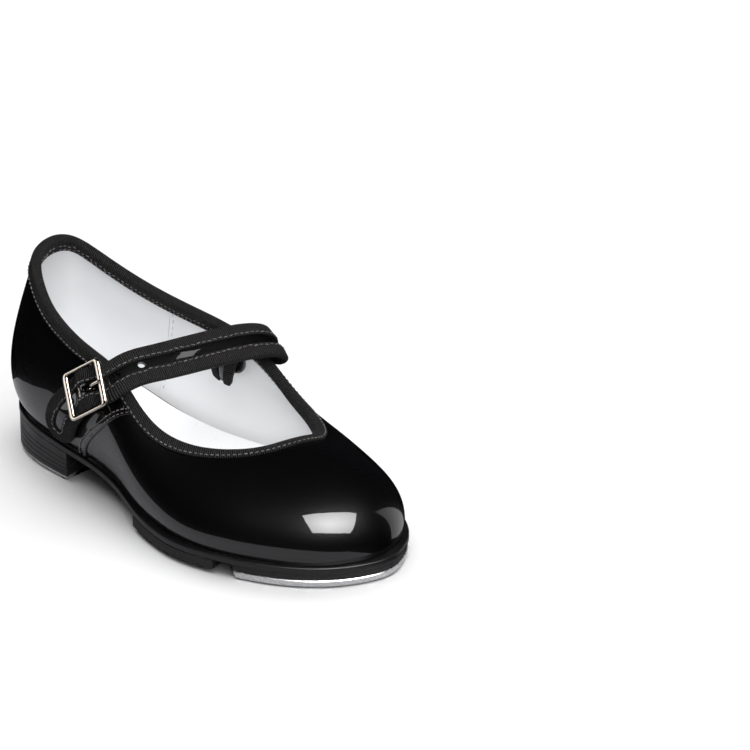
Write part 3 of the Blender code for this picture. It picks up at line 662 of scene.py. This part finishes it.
def make_grip_patch():
    """The rubber patch under the ball, with two pairs of bowed grooves across it."""
    inset = 0.3
    line = perimeter(inset, lambda w: -3.0 + 2.5 * w**2, lambda w: 37.0 + 3.5 * w**2, 60)
    levels = rounded_levels(PATCH_Z, lambda x: sole_z(x) - HAIR, 0.35)
    patch = add("grip_patch", *swept(layers(line, levels)), "rubber", "grip_rubber",
                nodes=["sole_patch"])
    section = [(-0.35, -1.0), (0.35, -1.0), (0.2, 0.45), (-0.2, 0.45)]
    grooves = []
    w = np.linspace(-1.15, 1.15, 33)
    for start, bow in ((1.0, 2.5), (3.6, 2.5), (31.6, 3.5), (34.2, 3.5)):
        x = start + bow * w**2
        grooves.append(swept([[(a + dx, b, PATCH_Z + dz) for dx, dz in section]
                              for a, b in zip(x, across(x, w, inset))]))
    cut_with(patch, grooves)


def make_heel():
    """The stacked heel, with a fine groove between its layers."""
    def level(share):
        return lambda x: low + (sole_z(x) - HAIR - low) * share
    low = HEEL_TAP + 0.08
    groove = [(0.0, -0.016), (0.16, -0.006), (0.16, 0.006), (0.0, 0.016)]
    levels = [(1.5, level(0)), (0.2, level(0)), (0.0, level(0.02))]
    levels += [(inset, level(joint + offset)) for joint in (0.17, 0.34, 0.51, 0.68)
               for inset, offset in groove]
    levels += [(0.0, level(0.985)), (0.3, level(1)), (1.5, level(1))]
    add("heel_stack", *swept(layers(perimeter(0.35, None, heel_front), levels)),
        "heel", "heel_stack", nodes=["heel_block"])


def make_toe_board():
    line = perimeter(0.9, lambda w: tap_rear(w) - 1.0)
    levels = rounded_levels(TOE_TAP + 0.1, FOREPART_Z - HAIR, 0.25)
    add("toe_board", *swept(layers(line, levels)), "board", "tap_board",
        nodes=["toe_tap_board"])


def make_tap(name, line, height, screws):
    """A tap with a rounded, polished rim and a dimple for each screw."""
    levels = [(3.2, 0.0), (1.15, 0.0), (0.95, 0.04), (0.3, 0.55), (0.12, 0.75), (0.02, 1.0),
              (0.0, height - 0.3), (0.25, height), (2.0, height)]
    plate = add(name + "_plate", *swept(layers(line, levels)), "tap", "tap_aluminium",
                nodes=[name])
    plate.data.materials.append(LOOKS["tap_edge"])
    for face in plate.data.polygons[len(line):7 * len(line)]:
        face.material_index = 1
    dimple = [(3.5, -0.6), (3.5, -0.01), (3.0, 0.09), (2.45, 0.6), (2.4, height + 1)]
    cut_with(plate, [swept(turned(dimple, x, y, 40)) for x, y in screws])


def make_screw(name, node, x, y, turn):
    """A countersunk screw whose head has a cross recess, turned by that angle."""
    profile = [(0.05, 0.2), (1.2, 0.22), (1.85, 0.34), (2.08, 0.55), (2.1, 0.8), (0.9, 2.0),
               (0.9, 5.0)]
    screw = add(name, *swept(turned(profile, x, y)), "screw", "screw_steel", nodes=[node])
    slots = []
    for angle in (turn, turn + math.pi / 2):
        c, s = math.cos(angle), math.sin(angle)
        slots.append(swept([[(x + a * c - b * s, y + a * s + b * c, z) for a, b in
                             ((-r, -h), (r, -h), (r, h), (-r, h))]
                            for z, r, h in ((-0.3, 1.4, 0.3), (0.4, 1.3, 0.26),
                                            (1.15, 0.5, 0.16))]))
    cut_with(screw, slots)


def make_taps():
    heel = perimeter(0.95, None, lambda w: BREAST_X - 0.6 - 3.2 * (1 - w**2))
    make_tap("toe_tap", perimeter(0.5, tap_rear), TOE_TAP, SCREWS_TOE)
    make_tap("heel_tap", heel, HEEL_TAP, SCREWS_HEEL)
    for tap, screws in (("toe", SCREWS_TOE), ("heel", SCREWS_HEEL)):
        for number, (x, y) in enumerate(screws, 1):
            make_screw(f"{tap}_screw_{number}", f"{tap}_tap_screw_{number}", x, y,
                       math.radians(23 + 31 * number))


def make_sock():
    """The insole's cover, over the shank and the insole board."""
    low = GAP + SHANK + GAP + INSOLE_BOARD + GAP
    levels = rounded_levels(lambda x: sole_top(x) + low, lambda x: sole_top(x) + low + 1.8, 0.6)
    add("sock", *laddered(layers(perimeter(7.0), levels)), "sock", "sock_lining",
        nodes=["insole_sock"])


# ---------------- upper
def lateral_seam(v):
    return 4.85 + 2.45 * v**1.6


def medial_seam(v):
    return COUNT - 4.95 - 2.5 * v


def lining_depth(v):
    """Depth of the lining's outside; its room for the stiffeners ends towards the topline."""
    step = np.clip((v - 0.66) / 0.2, 0, 1)
    ease = step * step * (3 - 2 * step)
    return LEATHER + LINING_GAP + (STIFFENER + GAP) * (1 - ease)


def panel(name, start, end, look, slot, nodes, columns, rows, outer, inner, v_low=0.0,
          lap_start=False, lap_end=False):
    """A layer of the upper between two seam lines; lapped ends stand over the next panel.

    Distances along the wall are in stations, lifts and depths in millimetres."""
    rim, rim_drop, lap, lap_fade, lap_lift = 0.03, 0.55, 0.12, 0.25, 0.5
    v = np.linspace(v_low, 1, rows + 1)[:, None]
    fine = np.array([0.0, 0.006, 0.015, 0.03, 0.055])
    span = np.abs(end(np.array([0.5])) - start(np.array([0.5])))[0]
    u = np.concatenate([fine / span, np.linspace(0.11 / span, 1 - 0.11 / span, columns),
                        1 - fine[::-1] / span])[None, :]
    t = start(v) + (end(v) - start(v)) * u
    lift = np.zeros_like(t)
    for lapped, distance in ((lap_start, u * span), (lap_end, (1 - u) * span)):
        lift = lift - rim_drop * (1 - np.clip(distance / rim, 0, 1))**2
        if lapped:
            lift = lift + lap_lift * (1 - np.clip((distance - lap) / lap_fade, 0, 1))
    first, second = upper_surface(t, v, outer(v) - lift), upper_surface(t, v, inner(v))
    return add(name, *two_sheets(first, second), look, slot, nodes=nodes)


def shifted(seam, by):
    return lambda v: seam(v) + by


def make_upper():
    """The vamp, two quarters that lap over it, and the linings, which meet at the sides."""
    edge, tuck, side_seam, gap, lining_start = 0.012, 0.03, 4.1, 0.004, 0.03
    skin = (48, flat(0), flat(LEATHER))
    for name, start, end, columns, node, laps in (
            ("vamp_panel", shifted(lateral_seam, -tuck), shifted(medial_seam, tuck), 190,
             "vamp", (False, False)),
            ("lateral_panel", flat(edge), lateral_seam, 80, "lateral_quarter", (False, True)),
            ("medial_panel", medial_seam, flat(COUNT - edge), 90, "medial_quarter",
             (True, False))):
        panel(name, start, end, "patent", "patent_leather", [node], columns, *skin, 0.0, *laps)
    under = (36, lining_depth, lambda v: lining_depth(v) + LINING, lining_start)
    for name, start, end, columns, node in (
            ("vamp_lining_panel", side_seam + gap, COUNT - side_seam - gap, 150, "vamp_lining"),
            ("quarter_lining_panel", gap - side_seam, side_seam - gap, 90, "quarter_lining")):
        panel(name, flat(start), flat(end), "lining", "lining", [node], columns, *under)
    make_seams(side_seam)


def wall_stitches(t, v, depth, length, gap, width, facing=1):
    """A row of stitches along a line in the upper; facing is -1 inside the shoe."""
    return stitch_row(upper_surface(t, v, depth), facing * upper_normal(t, v), length, gap, width)


def make_seams(side_seam):
    v, on_leather = np.linspace(0.015, 0.93, 160), -0.5
    rows = [wall_stitches(medial_seam(v) + away, v, on_leather, 1.75, 0.75, 0.55)
            for away in (0.1, 0.27)]
    stitches("medial_seam_stitches", rows, "light_thread", "patent_leather")
    rows = [wall_stitches(lateral_seam(v) - away, v, on_leather, 1.2, 0.6, 0.4)
            for away in (0.085, 0.22)]
    stitches("lateral_seam_stitches", rows, "grey_thread", "patent_leather")
    v = np.linspace(0.1, 0.9, 120)
    rows = [wall_stitches(t, v, lining_depth(v) + LINING, 1.6, 1.0, 0.3, -1)
            for t in (side_seam + 0.1, COUNT - side_seam - 0.1)]
    stitches("lining_stitches", rows, "pale_thread", "lining")


# ---------------- topline binding
OUTER_LEG, INNER_LEG = 3.9, 4.3


def binding_point(t, drop, depth):
    """Points at a distance under the topline and a depth in the wall; negative drop is above."""
    slope = np.linalg.norm(upper_surface(t, 1.0) - upper_surface(t, 0.95), axis=-1) / 0.05
    top = upper_surface(t, 1.0, depth)
    up = unit(top - upper_surface(t, 0.97, depth))
    under = upper_surface(t, 1 - np.maximum(drop, 0) / slope, depth)
    return np.where(drop >= 0, under, top - drop * up)


def make_binding():
    t = np.linspace(0.0, COUNT, 900)
    out, inn = -GAP - CLOTH, WALL + GAP + CLOTH
    middle, reach = (out + inn) / 2, (inn - out) / 2
    section = [(OUTER_LEG, -0.1), (OUTER_LEG + 0.05, out + 0.15), (OUTER_LEG - 0.2, out),
               (2.6, out + 0.03), (1.3, out - 0.02), (0.3, out)]
    section += [(0.2 - 1.25 * math.sin(a), middle - reach * math.cos(a))
                for a in np.radians(np.arange(12, 180, 14))]
    section += [(0.3, inn), (1.5, inn + 0.02), (3.0, inn - 0.03), (INNER_LEG - 0.2, inn),
                (INNER_LEG + 0.05, inn - 0.15), (INNER_LEG, WALL + 0.05), (2, WALL + 0.1),
                (0, WALL), (0, 0), (2, -0.05)]
    rings = np.stack([binding_point(t, drop, depth) for drop, depth in section], 1)
    add("topline_tape", *swept(rings), "grosgrain", "grosgrain", nodes=["topline_binding"],
        uv=ribbon_uv(running_length(upper_surface(t, 1.0)), len(section)))
    normal = upper_normal(t, 0.95)
    outer = stitch_row(binding_point(t, OUTER_LEG - 0.75, out), normal, 1.15, 0.75, 0.34, 0.04)
    stitches("binding_outer_stitches", [outer], "light_thread", "grosgrain")
    rows = [stitch_row(binding_point(t, drop, inn), -normal, 1.2, 0.7, 0.34, wobble, seed)
            for drop, wobble, seed in ((INNER_LEG - 0.7, 0.12, 5), (INNER_LEG - 2.0, 0.16, 6))]
    stitches("binding_inner_stitches", rows, "grey_thread", "grosgrain")


# ---------------- eyelet
def oval(half_length, half_width, count=72):
    straight = half_length - half_width
    a = 2 * math.pi * np.arange(count) / count
    shift = np.where(np.cos(a) > 0, straight, -straight)
    return np.stack([half_width * np.cos(a) + shift, half_width * np.sin(a)], 1)


def oval_ring(profile):
    """A ring round the eyelet's hole, from a profile of (distance out, height)."""
    line = oval(8.0, 4.2)
    out = -left_of(tangents(line))
    rings = [[(*(p + r * n), h) for r, h in profile] for p, n in zip(line, out)]
    return swept(in_frame(EYELET, rings), closed=True)


def make_eyelet():
    bead = [(1.35 * math.cos(a), 1.0 + 1.45 * math.sin(a))
            for a in np.radians(np.arange(200, -50, -14))]
    barrel = [(1.0, -0.3), (-0.6, -0.4), (-0.6, -5.7), (-1.3, -5.7), (-1.3, 0.2)]
    washer = [(-0.6, -5.0), (-0.5, -5.45), (1.4, -5.45), (1.6, -5.3), (1.6, -5.0)]
    add("eyelet", *oval_ring(bead + barrel), "enamel", "eyelet_enamel", nodes=["eyelet_ring"])
    add("eyelet_back", *oval_ring(washer), "enamel", "eyelet_enamel", nodes=["eyelet_washer"])
    hole = [[(x, y, h) for x, y in oval(7.4, 3.6)] for h in (-8.0, 5.0)]
    for name in ("medial_panel", "vamp_lining_panel"):
        cut_with(bpy.data.objects[name], [swept(in_frame(EYELET, hole))])


# ---------------- strap
def strap_line():
    tail = [upper_surface(t, v, -height) for t, v, height in TAIL_PATH]
    tail_normals = [upper_normal(t, v) for t, v, _ in TAIL_PATH]
    run = in_frame(BUCKLE, [(a, 0, h) for a, h in BUCKLE_RUN])
    path = np.concatenate([tail, run, INSTEP_PATH, in_frame(EYELET, LOOP_PATH)])
    normals = np.concatenate([tail_normals, [BUCKLE[1][2]] * len(run), INSTEP_NORMALS,
                              np.array(LOOP_NORMALS) @ EYELET[1]])
    return path, normals


STRAP_PATH, STRAP_NORMALS = strap_line()
ROOT = len(TAIL_PATH) + len(BUCKLE_RUN) + len(INSTEP_PATH) - 1
WHERE = np.linspace(0, len(STRAP_PATH) - 1, 1200)
LENGTHS = running_length(spline(STRAP_PATH, WHERE))
# The strap's width gathers in the end loop: its share of the full width at each point of the
# path from the root on.
GATHER = [1, 0.84, 0.66, 0.62, 0.68, 0.74, 0.8, 0.62, 0.42, 0.6, 0.85, 0.9]
TIP_R = STRAP_HALF_WIDTH - 0.7
CORE_HALF, CROWN = 0.5, 0.35


def strap_length(where):
    return float(np.interp(where, WHERE, LENGTHS))


def strap_point(s, w, h):
    """Point of the strap at length s, distance w across and h over its middle layer."""
    s, w, h = np.broadcast_arrays(*(np.asarray(k, float) for k in (s, w, h)))
    where = np.interp(s, LENGTHS, WHERE)
    centre = spline(STRAP_PATH, where)
    ahead = unit(spline(STRAP_PATH, where + 1e-3) - spline(STRAP_PATH, where - 1e-3))
    normal = spline(STRAP_NORMALS, where)
    normal = unit(normal - (normal * ahead).sum(-1, keepdims=True) * ahead)
    gather = np.interp(where, ROOT + np.arange(len(GATHER)), GATHER)
    height = h - CROWN * (w / STRAP_HALF_WIDTH)**2
    return (centre + (w * gather)[..., None] * np.cross(ahead, normal)
            + height[..., None] * normal)


def strap_holes():
    """Place and half length of the prong's slot, then of the spare holes."""
    bar = strap_length(len(TAIL_PATH) + 2)
    pitch, in_use = 9.0, bar + 4.7
    return [(bar + 3.1, 3.9)] + [(in_use + pitch * k, 1.25) for k in (-2, 1, 2)]


def core_sheets(start, end, tip):
    """The patent strip from start to end, with a round tip at its start or without."""
    steps = int((end - start) / 0.8)
    s, half = np.linspace(start, end, steps)[:, None], TIP_R
    if tip:
        angles = np.linspace(0.25, math.pi / 2, 10)
        s = np.concatenate([TIP_R * (1 - np.cos(angles)), np.linspace(TIP_R, end, steps)[1:]])
        s = s[:, None]
        half = np.sqrt(np.maximum(TIP_R**2 - np.maximum(TIP_R - s, 0)**2, 0))
    w = half * np.linspace(-1, 1, 15)
    puff = 0.12 * np.cos(np.clip(w / 3.0, -1, 1) * math.pi / 2)
    return two_sheets(strap_point(s, w, -CORE_HALF - puff), strap_point(s, w, CORE_HALF + puff))


# The tape's section: distance out from the core's edge, and height.
BINDING_LEG = -4.35
BINDING_UPPER = [(BINDING_LEG, 0.62), (BINDING_LEG, 1.0), (BINDING_LEG + 0.15, 1.12),
                 (-2.6, 1.16), (-1.2, 1.15), (0.1, 1.12), (0.45, 0.98), (0.65, 0.6)]
BINDING_SECTION = (BINDING_UPPER + [(0.72, 0)] + [(r, -h) for r, h in BINDING_UPPER[::-1]]
                   + [(0.2, -0.6), (0.2, 0.6)])


def edge_point(along, r, h, end):
    """Point on the strap's rim: along runs up one edge, round the tip and back."""
    straight, bend = end - TIP_R, TIP_R * math.pi
    angle = np.clip((along - straight) / TIP_R, 0, math.pi) - math.pi / 2
    past_tip = np.maximum(straight - along, 0) + np.maximum(along - straight - bend, 0)
    s = TIP_R + past_tip - (TIP_R + r) * np.cos(angle)
    return strap_point(s, (TIP_R + r) * np.sin(angle), h)


def make_strap():
    """The strap from its tip into the eyelet."""
    end = strap_length(ROOT + 4.6)
    core = add("strap_core", *core_sheets(0, end, True), "patent", "patent_leather",
               nodes=["instep_strap"], body=None)
    cut_with(core, [swept([[strap_point(place + a, b, h) for a, b in oval(reach, 1.17, 24)]
                           for h in (-2.5, 2.5)]) for place, reach in strap_holes()])
    around = 2 * (end - TIP_R) + math.pi * TIP_R
    along = np.linspace(0, around, int(around / 0.5))[:, None]
    r, h = (np.array(k)[None, :] for k in zip(*BINDING_SECTION))
    tape = add("strap_tape", *swept(edge_point(along, r, h, end)), "grosgrain", "grosgrain",
               nodes=["strap_binding"], uv=ribbon_uv(along, len(BINDING_SECTION)), body=None)
    fine = np.linspace(0, around, 1600)
    rows = []
    for height, seed in ((1.15, 11), (-1.15, 12)):
        line = edge_point(fine, BINDING_LEG + 0.75, height, end)
        normal = unit(edge_point(fine, BINDING_LEG + 0.75, height * 2, end) - line)
        rows.append(stitch_row(line, normal, 1.5, 0.6, 0.36, 0.14, seed))
    seams = stitches("strap_stitches", rows, "grey_thread", "grosgrain", None)
    for piece in (core, tape, seams):
        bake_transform(piece)
    make_strap_end(end - 1.5, r, h)


def make_strap_end(start, r, h):
    """The end that hangs inside the shoe, with a tape on each edge; it starts in the strap."""
    add("strap_end_core", *core_sheets(start, LENGTHS[-1], False), "patent", "patent_leather",
        nodes=["strap_anchor_loop"])
    s = np.linspace(start, LENGTHS[-1], 40)[:, None]
    edges = [swept(strap_point(s, side * (TIP_R + r), h)) for side in (-1, 1)]
    uv = np.tile(ribbon_uv(s, r.size).reshape(-1, 2), (2, 1))
    add("strap_end_tape", *joined(edges), "grosgrain", "grosgrain", uv=uv)


# ---------------- buckle
BAR_H, BAR_R = -2.4, 0.6


def rounded_rectangle(half_x, half_y, corner, per_corner=10, along=12):
    """Points round a rectangle: arcs at the corners, joined by straight runs."""
    arcs = []
    for cx, cy, start in ((1, 1, 0), (-1, 1, 90), (-1, -1, 180), (1, -1, 270)):
        a = np.radians(np.linspace(start, start + 90, per_corner + 1))
        arcs.append(np.stack([cx * (half_x - corner) + corner * np.cos(a),
                              cy * (half_y - corner) + corner * np.sin(a)], 1))
    run = np.linspace(0, 1, along + 2)[1:-1, None]
    return np.concatenate([part for arc, following in zip(arcs, arcs[1:] + arcs[:1])
                           for part in (arc, arc[-1] + (following[0] - arc[-1]) * run)])


def rounded(cosine):
    """A circle's cosine or sine, changed to that of a squarer curve."""
    return math.copysign(abs(cosine)**0.75, cosine)


def make_buckle():
    """The frame, flat in section and domed at its rim, and its low centre bar."""
    outer, inner = rounded_rectangle(11.0, 8.4, 2.0), rounded_rectangle(8.5, 7.35, 0.8)
    angles = circle(20)
    rings = []
    for c, d in zip((outer + inner) / 2, (outer - inner) / 2):
        thick = 0.45 + 0.4 * min(np.linalg.norm(d) / 1.25, 1)
        rings.append([(*(c + d * rounded(math.cos(a))), thick * rounded(math.sin(a)))
                      for a in angles])
    half_bar = [(6.0, BAR_H), (6.6, -2.1), (7.3, -0.9), (7.9, 0.0)]
    bar = [[(BAR_R * math.cos(a), y, z + BAR_R * math.sin(a)) for a in angles]
           for y, z in [(-y, z) for y, z in half_bar[::-1]] + half_bar]
    shapes = [swept(in_frame(BUCKLE, rings), closed=True), swept(in_frame(BUCKLE, bar))]
    add("buckle", *joined(shapes), "nickel", "buckle_nickel", "buckle", ["buckle_frame"])


def make_prong():
    """A flattened wire: an eye round the bar, then a pin that rises out of the strap."""
    wire, flatten, taper = 0.45, 1.35, 0.55
    eye = BAR_R + GAP + wire
    path = [(eye * math.cos(a), eye * math.sin(a)) for a in np.radians(np.arange(330, 29, -12))]
    path += [(2.3, 0.75), (3.4, 1.15), (4.4, 2.3), (5.4, 3.5), (7.3, 3.8), (9.4, 3.8),
             (11.2, 3.65)]
    last = len(path) - 1
    where = np.linspace(0, last, 90)
    line = spline(path, where)
    radius = wire * np.interp(where, [0, last - 0.6, last], [1, 1, taper])
    rings = [[(x - dz * r * math.cos(a), r * flatten * math.sin(a),
               BAR_H + z + dx * r * math.cos(a)) for a in circle(14)]
             for (x, z), (dx, dz), r in zip(line, unit(np.gradient(line, axis=0)), radius)]
    add("prong_pin", *swept(in_frame(BUCKLE, rings)), "nickel", "buckle_nickel", "prong",
        ["buckle_prong"])


def make_tab():
    """The strip that folds round the centre bar, slotted for the prong."""
    half, half_width, turn = TAB / 2, 4.0, np.radians(np.arange(30, 181, 30))
    mean = BAR_R + GAP + half
    path = [(x, -mean) for x in (-7.2, -4.5, -2.2, 0)]
    path += [(mean * math.sin(a), -mean * math.cos(a)) for a in turn]
    path += [(-1.6, mean - 0.2), (-3.6, 0.3)]
    path = spline(path, np.linspace(0, len(path) - 1, 60))
    side = left_of(unit(np.gradient(path, axis=0)))
    width = np.linspace(-half_width, half_width, 9)
    sheets = [in_frame(BUCKLE, [[(x, w, z + BAR_H) for w in width] for x, z in path + h * side])
              for h in (-half, half)]
    tab = add("buckle_strap", *two_sheets(*sheets), "patent", "patent_leather",
              nodes=["buckle_tab"])
    slot = rounded_rectangle(3.4, 1.15, 0.5, 3)
    ends = [[(x, y, z + BAR_H) for x, y in slot] for z in (-5.0, 5.0)]
    cut_with(tab, [swept(in_frame(BUCKLE, ends))])


# ---------------- hidden CAD pieces
def finish_nodes():
    for node, look in (("insole_board", "fibre"), ("heel_counter", "stiffener"),
                       ("toe_puff", "stiffener"), ("shank", "shank")):
        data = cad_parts[node].data
        data.materials.clear()
        data.materials.append(LOOKS[look])


# ---------------- studio
# The card under the shoe, in row millimetres: it only shows mirrored, where the floor doesn't.
CARD = [(-135, -30), (-128, -85), (-70, -80), (0, -88), (40, -98), (78, -82), (96, -45),
        (101, -12), (90, 12), (62, 30), (-60, 45), (-112, 25)]
FLOOR_HALF, FLOOR_Z = 6.0, -0.0001
TOE_POINT = Vector((0.072, -0.009, 0.022))
TAPS = ["toe_tap_plate", "heel_tap_plate"]
INSIDE = ["quarter_lining_panel", "vamp_lining_panel", "sock"]


def link_light(lamp, names):
    """The lamp lights only these pieces."""
    receivers = bpy.data.collections.new(lamp.name + "_lit")
    for name in names:
        receivers.objects.link(bpy.data.objects[name])
    lamp.light_linking.receiver_collection = receivers


def area_light(name, place, target, size, power, mirrored=False, only=None):
    """A lamp that either lights the surfaces or is mirrored in them."""
    light = bpy.data.lights.new(name, "AREA")
    light.shape = "RECTANGLE"
    light.size, light.size_y = size
    light.energy = power
    lamp = link_object(name, light)
    lamp.location = place
    lamp.rotation_euler = (Vector(target) - Vector(place)).to_track_quat("-Z", "Y").to_euler()
    lamp.visible_glossy, lamp.visible_diffuse, lamp.visible_camera = mirrored, not mirrored, False
    if only:
        link_light(lamp, only)
    return lamp


def sheet(name, corners, material):
    mesh = bpy.data.meshes.new(name)
    mesh.from_pydata(corners, [], [range(len(corners))])
    mesh.materials.append(material)
    return link_object(name, mesh)


def glow(name, strength, edge):
    """A light whose strength falls from the middle of the UV square to its corners."""
    material = bpy.data.materials.new(name)
    material.use_nodes = True
    tree = material.node_tree
    tree.nodes.clear()
    coords = add_node(tree, "ShaderNodeTexCoord")
    centred = add_node(tree, "ShaderNodeMapping", {"Location": (-0.5, -0.5, 0)},
                       {"Vector": coords.outputs["UV"]})
    away = add_node(tree, "ShaderNodeVectorMath", None, {0: centred.outputs[0]},
                    operation="LENGTH")
    fade = add_node(tree, "ShaderNodeMapRange", {"From Min": 0.0, "From Max": 0.7,
                                                 "To Min": strength, "To Max": strength * edge},
                    {"Value": away.outputs["Value"]})
    emission = add_node(tree, "ShaderNodeEmission", None, {"Strength": fade.outputs[0]})
    add_node(tree, "ShaderNodeOutputMaterial", None, {"Surface": emission.outputs[0]})
    return material


def panel_light(name, corners, strength, edge, only=None):
    """A glowing panel that is only seen mirrored; its corners are measured from the toe."""
    lit = sheet(name, [TOE_POINT + Vector(corner) for corner in corners],
                glow(name, strength, edge))
    lit.data.uv_layers.new(name="UVMap")
    for loop, uv in zip(lit.data.uv_layers[0].data, ((0, 1), (1, 1), (1, 0), (0, 0))):
        loop.uv = uv
    lit.visible_camera = lit.visible_diffuse = lit.visible_shadow = False
    if only:
        link_light(lit, only)


def make_floor():
    look = Look("floor", (0.93, 0.93, 0.93), 0.9, Specular_IOR_Level=0.0)
    look.paint(look.noise(3), (0.925, 0.925, 0.925), (0.935, 0.935, 0.935))
    floor = sheet("floor", [(x * FLOOR_HALF, y * FLOOR_HALF, 0) for x, y in
                            ((-1, -1), (1, -1), (1, 1), (-1, 1))], look.material)
    floor.location.z = FLOOR_Z
    floor.visible_glossy = False
    look = Look("card", (0.45, 0.45, 0.47), 0.9, Specular_IOR_Level=0.0)
    card = sheet("card", [(x * MM, y * MM, 0) for x, y in CARD], look.material)
    card.visible_camera = card.visible_diffuse = card.visible_shadow = False


def make_lights():
    world = bpy.data.worlds.new("studio")
    world.use_nodes = True
    world.node_tree.nodes["Background"].inputs["Color"].default_value = (0.006, 0.006, 0.007, 1)
    bpy.context.scene.world = world
    area_light("overhead", (-0.1, 0.2, 1.5), (-0.02, 0.03, 0), (2.2, 2.2), 40)
    area_light("front", (0.95, -0.5, 0.9), (0.02, 0, 0.02), (1.0, 1.0), 5)
    panel_light("softbox", [(0.107, -0.613, 1.397), (0.870, 0.381, 1.006),
                            (1.414, -0.096, 0.327), (0.772, -0.876, 0.673)], 13, 0.55)
    panel_light("window", [(0.2, 0.23, 0.153), (0.113, 0.293, 0.08), (-0.09, 0.28, -0.145),
                           (0.13, 0.27, -0.14)], 0.8, 0.7)
    panel_light("tap_card", [(-0.8, -0.8, -0.2), (0.8, -0.8, -0.2), (0.8, 0.8, -0.2),
                             (-0.8, 0.8, -0.2)], 0.6, 0.95, TAPS)
    fill = area_light("lining_fill", (0.3, -0.4, 0.85), (-0.02, 0, 0.03), (0.5, 0.5), 4.5,
                      only=INSIDE)
    fill.data.use_shadow = False
    area_light("buckle_card", (-0.55, -0.36, 0.03), (-0.024, -0.03, 0.044), (0.34, 0.34), 0.5,
               True, ["buckle", "prong_pin", "strap_core"])
    area_light("strap_card", (0.2, 0.33, 0.95), (0, 0, 0.05), (0.16, 0.1), 0.12, True,
               ["strap_core"])


def make_camera():
    """The camera; its focal length is in widths of the picture."""
    azimuth, elevation, distance = math.radians(44), math.radians(26), 1.5
    focal_length, sensor = 6.16, 36.0
    target = Vector(metres([(76, 3, 71)])[0])
    back = Vector((math.sin(azimuth) * math.cos(elevation),
                   -math.cos(azimuth) * math.cos(elevation), math.sin(elevation)))
    camera = bpy.data.cameras.new("camera")
    camera.sensor_width, camera.lens = sensor, focal_length * sensor
    camera.clip_start, camera.clip_end = 0.05, 50
    holder = link_object("camera", camera)
    holder.location = target + distance * back
    holder.rotation_euler = back.to_track_quat("Z", "Y").to_euler()
    bpy.context.scene.camera = holder


for make in (make_camera, make_outsole, make_grip_patch, make_heel, make_toe_board, make_taps,
             make_sock, make_upper, make_binding, make_eyelet, make_buckle, make_prong,
             make_tab, make_strap, finish_nodes, make_floor, make_lights):
    make()
bpy.context.scene.view_settings.view_transform = "Standard"
bpy.context.view_layer.update()
